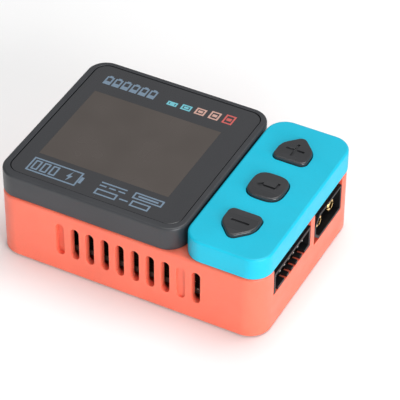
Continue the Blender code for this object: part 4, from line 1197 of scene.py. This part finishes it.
@dataclass
class BalanceSocket:
    """The seven-way balance port: a keyed black shell around a row of square pins."""

    shop: Workshop
    pins: int = 7
    pitch: float = 2.5 * MM
    wall: float = 0.8 * MM
    back: float = 1.4 * MM
    key_width: float = 1.3 * MM
    key_depth: float = 3.5 * MM
    keys: tuple[float, ...] = (0.5, 1.5, 2.5, 3.5, 4.5, 6.5)
    tip_blunt: float = 0.28
    tip_length: float = 0.8

    def shell(self) -> None:
        """Make the shell with its well and the key slots in its lower wall."""
        low, high, middle = boxed("balance_socket")
        piece = Form.block(low, high).object("balance_shell")
        shape(piece, Join.CUT, Form.block((low.x + self.back, low.y + self.wall, low.z + self.wall),
                                          (high.x + MM, high.y - self.wall, high.z - self.wall)))
        rear = middle.y + (self.pins - 1) * self.pitch / 2
        x, z = (high.x - self.key_depth, high.x + MM), (low.z - MM, low.z + self.wall * 1.5)
        slots = [Form.bar(x, about(rear - step * self.pitch, self.key_width), z) for step in self.keys]
        shape(piece, Join.CUT, *slots)
        self.shop.hang(piece, NYLON, "balance_socket", 0.10 * MM)

    def pin(self, number: int) -> None:
        """Make one bent square pin with a tapered tip."""
        node = f"balance_pin_{number}"
        low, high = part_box(node)
        thick = high.y - low.y
        body = Form.block((low.x, low.y, high.z - thick), high)
        tip = [vert for vert in body.bm.verts if vert.co.x > high.x - 0.01 * MM]
        end = [face for face in body.bm.faces if all(vert in tip for vert in face.verts)]
        bmesh.ops.inset_region(body.bm, faces=end, thickness=thick * self.tip_blunt, depth=0.0)
        for vert in tip:
            vert.co.x -= thick * self.tip_length
        piece = body.object(f"balance_contact_{number}")
        shape(piece, Join.ADD, Form.block(low, (low.x + thick, high.y, high.z - thick / 2)))
        self.shop.hang(piece, TIN, node, 0.04 * MM)

    def build(self) -> None:
        """Make the shell and its pins."""
        self.shell()
        for number in range(1, self.pins + 1):
            self.pin(number)


@dataclass
class UsbPort:
    """The USB-C port: a drawn steel shell around a contact tongue."""

    shop: Workshop
    wall: float = 0.3 * MM
    back: float = 0.8 * MM
    tongue_corner: float = 0.5 * MM
    contacts: int = 12
    contact_pitch: float = 0.5 * MM
    contact_width: float = 0.26 * MM
    front_margin: float = 0.7 * MM
    back_margin: float = 0.3 * MM
    contact_sink: float = 0.02 * MM
    contact_rise: float = 0.03 * MM

    def build(self) -> None:
        """Make the shell, the tongue and its contacts."""
        low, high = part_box("usb_c_shell")
        round_end = (high.z - low.z) / 2
        piece = Form.block(low, high).round_along(Axis.X, round_end * FULL_ROUND, 12).object("usb_shell")
        first, last = grown(low, high, -self.wall)
        inner = Form.block((low.x - MM, first.y, first.z), (high.x - self.back, last.y, last.z))
        shape(piece, Join.CUT, inner.round_along(Axis.X, (round_end - self.wall) * FULL_ROUND, 12))
        self.shop.hang(piece, SHELL_STEEL, "usb_c_shell", 0.05 * MM)
        low, high, middle = boxed("usb_c_tongue")
        tongue = Form.block(low, high).round_along(Axis.Z, self.tongue_corner, 4, where=(Axis.X, -1))
        self.shop.hang(tongue.object("usb_tongue"), NYLON, "usb_c_tongue", 0.05 * MM)
        strips = []
        reach = (low.x + self.front_margin, high.x - self.back_margin)
        for side, level in ((1, high.z), (-1, low.z)):
            faces = sorted((level - side * self.contact_sink, level + side * self.contact_rise))
            for index in range(self.contacts):
                y = middle.y + (index - (self.contacts - 1) / 2) * self.contact_pitch
                strips.append(Form.bar(reach, about(y, self.contact_width), faces))
        self.shop.hang(Form().with_forms(strips).object("usb_contacts"), GOLD)


@dataclass
class CoolingFan:
    """The fan's frame with its spokes and bearing tube, and the rotor that turns on it."""

    shop: Workshop
    corner: float = 2.5 * MM
    bore: float = 13.9 * MM
    spokes: int = 3
    spoke_width: float = 1.6 * MM
    spoke_height: float = 0.9 * MM
    spoke_bite: float = 0.6 * MM
    base: float = 1.0 * MM
    hub: float = 7.0 * MM
    hub_wall: float = 1.0 * MM
    hub_roll: float = 0.6 * MM
    rotor_gap: float = 0.4 * MM
    shaft: float = 0.75 * MM
    bearing: float = 2.0 * MM
    running_gap: float = 0.08 * MM
    blades: int = 7
    chord: float = 5.6 * MM
    blade_thickness: float = 0.7 * MM
    tip_gap: float = 0.7 * MM
    root_bite: float = 0.7 * MM
    pitch: float = math.radians(35.0)

    def frame(self) -> None:
        """Make the square frame, its spokes, and the bearing tube on their disc."""
        low, high, middle = boxed("fan_frame")
        piece = Form.block(low, high).round_along(Axis.Z, self.corner, 10).object("fan_housing")
        shape(piece, Join.CUT, Form.rod(middle.xy, self.bore, low.z - MM, high.z + MM, steps=72))
        for index in range(self.spokes):
            spoke = Form.bar((middle.x, middle.x + self.bore + self.spoke_bite),
                             about(middle.y, self.spoke_width), (low.z, low.z + self.spoke_height))
            shape(piece, Join.ADD, spoke.turn(math.pi / 2 + index * 2 * math.pi / self.spokes, middle))
        bearing = self.shaft + self.running_gap
        tube_top = high.z - 2 * self.rotor_gap - self.hub_wall
        floor = low.z + self.base
        disc = [(0.0, floor), (bearing, floor), (bearing, tube_top), (self.bearing, tube_top),
                (self.bearing, floor), (self.hub, floor), (self.hub, low.z), (0.0, low.z)]
        shape(piece, Join.ADD, Form.turned(disc, middle.xy, 64))
        self.shop.hang(piece, FAN_PLASTIC, "fan_frame", 0.12 * MM)

    def rotor(self) -> None:
        """Make the hub with its shaft and the pitched blades around it."""
        low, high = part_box("fan_rotor")
        frame_low, _, middle = boxed("fan_frame")
        skirt = frame_low.z + self.base + self.rotor_gap
        inner, roof, roll = self.hub - self.hub_wall, high.z - self.hub_wall, self.hub_roll
        arc = [(self.hub - roll + roll * math.sin(angle), high.z - roll + roll * math.cos(angle))
               for angle in QUARTER_TURN]
        profile = [(0.0, high.z), *arc, (self.hub, skirt), (inner, skirt), (inner, roof), (self.shaft, roof),
                   (self.shaft, low.z), (0.0, low.z)]
        piece = Form.turned(profile, middle.xy, 64).object("fan_impeller")
        root = middle.x + self.hub - self.root_bite
        tip = middle.x + min((high.x - low.x) / 2, self.bore - self.tip_gap)
        height = (skirt + high.z) / 2
        for index in range(self.blades):
            blade = Form.bar((root, tip), about(middle.y, self.chord), about(height, self.blade_thickness))
            blade.round_along(Axis.X, self.blade_thickness * 0.42, 4)
            blade.turn(self.pitch, (middle.x, middle.y, height), Axis.X)
            shape(piece, Join.ADD, blade.turn(index * 2 * math.pi / self.blades, middle))
        self.shop.hang(piece, FAN_PLASTIC, "fan_rotor", body="fan_rotor")

    def build(self) -> None:
        """Make the frame and the rotor."""
        self.frame()
        self.rotor()


@dataclass
class Studio:
    """A pale floor, soft lights and the camera."""

    shop: Workshop
    azimuth: float = 27.244
    elevation: float = 40.745
    distance: float = 583.35 * MM
    target: tuple[float, float, float] = (6.208 * MM, 1.246 * MM, 12.663 * MM)
    roll: float = 0.400
    lens: float = 205.87
    sensor: float = 36.0
    floor_size: float = 3.0
    floor_thickness: float = 0.01
    surround: float = 0.28
    aim: tuple[float, float, float] = (0.0, 0.0, 0.01)

    def camera(self) -> None:
        """Place the camera on its sphere around the target."""
        turn, lift, spin = (math.radians(angle) for angle in (self.azimuth, self.elevation, self.roll))
        back = Vector((math.sin(turn) * math.cos(lift), -math.cos(turn) * math.cos(lift), math.sin(lift)))
        right = (-back).cross(Vector((0.0, 0.0, 1.0))).normalized()
        up = right.cross(-back)
        across = math.cos(spin) * right + math.sin(spin) * up
        upward = -math.sin(spin) * right + math.cos(spin) * up
        pose = Matrix((across, upward, back)).transposed().to_4x4()
        pose.translation = Vector(self.target) + back * self.distance
        data = bpy.data.cameras.new("camera")
        data.sensor_width = self.sensor
        data.lens = self.lens
        data.clip_start, data.clip_end = 0.01, 20.0
        camera = bpy.data.objects.new("camera", data)
        camera.matrix_world = pose
        bpy.context.scene.collection.objects.link(camera)
        bpy.context.scene.camera = camera

    def floor(self) -> None:
        """Lay the pale sheet at the surface that the charger stands on."""
        half = self.floor_size / 2
        sheet = Form.block((-half, -half, -self.floor_thickness), (half, half, 0.0)).object("floor")
        sheet.data.materials.append(self.shop.material(PAPER))

    def light(self, name: str, place: Point, size: float, power: float) -> None:
        """Hang one square soft light that looks at the charger.

        Args:
            name: the light's name.
            place: where it hangs.
            size: the length of its side in metres.
            power: its power in watts.
        """
        data = bpy.data.lights.new(name, "AREA")
        data.size = size
        data.energy = power
        lamp = bpy.data.objects.new(name, data)
        lamp.location = place
        lamp.rotation_mode = "QUATERNION"
        lamp.rotation_quaternion = (Vector(self.aim) - Vector(place)).to_track_quat("-Z", "Y")
        bpy.context.scene.collection.objects.link(lamp)

    def build(self) -> None:
        """Set up the world, the lights, the floor and the camera."""
        world = bpy.data.worlds.new("studio")
        world.use_nodes = True
        background = world.node_tree.nodes["Background"]
        background.inputs["Color"].default_value = (1.0, 1.0, 1.0, 1.0)
        background.inputs["Strength"].default_value = self.surround
        bpy.context.scene.world = world
        bpy.context.scene.view_settings.view_transform = "Standard"
        self.light("overhead_light", (0.10, 0.30, 1.2), 0.8, 10.5)
        self.light("front_fill", (-0.3, -1.1, 0.18), 0.9, 3.5)
        self.light("side_fill", (0.98, -0.55, 0.25), 0.7, 14.0)
        self.floor()
        self.camera()


def main() -> None:
    """Build the charger's looks, one sub-assembly at a time."""
    logging.basicConfig(level=logging.INFO, format="%(message)s")
    shop = Workshop()
    for assembly in (Studio(shop), CaseShell(shop), Underside(shop), Display(shop), ButtonPod(shop),
                     TwoPinSocket(shop, "output", 1), TwoPinSocket(shop, "input", -1), BalanceSocket(shop),
                     UsbPort(shop), CoolingFan(shop)):
        assembly.build()
    for node, finish in PLAIN_NODES.items():
        shop.dress(node, finish)


if __name__ == "__main__":
    main()
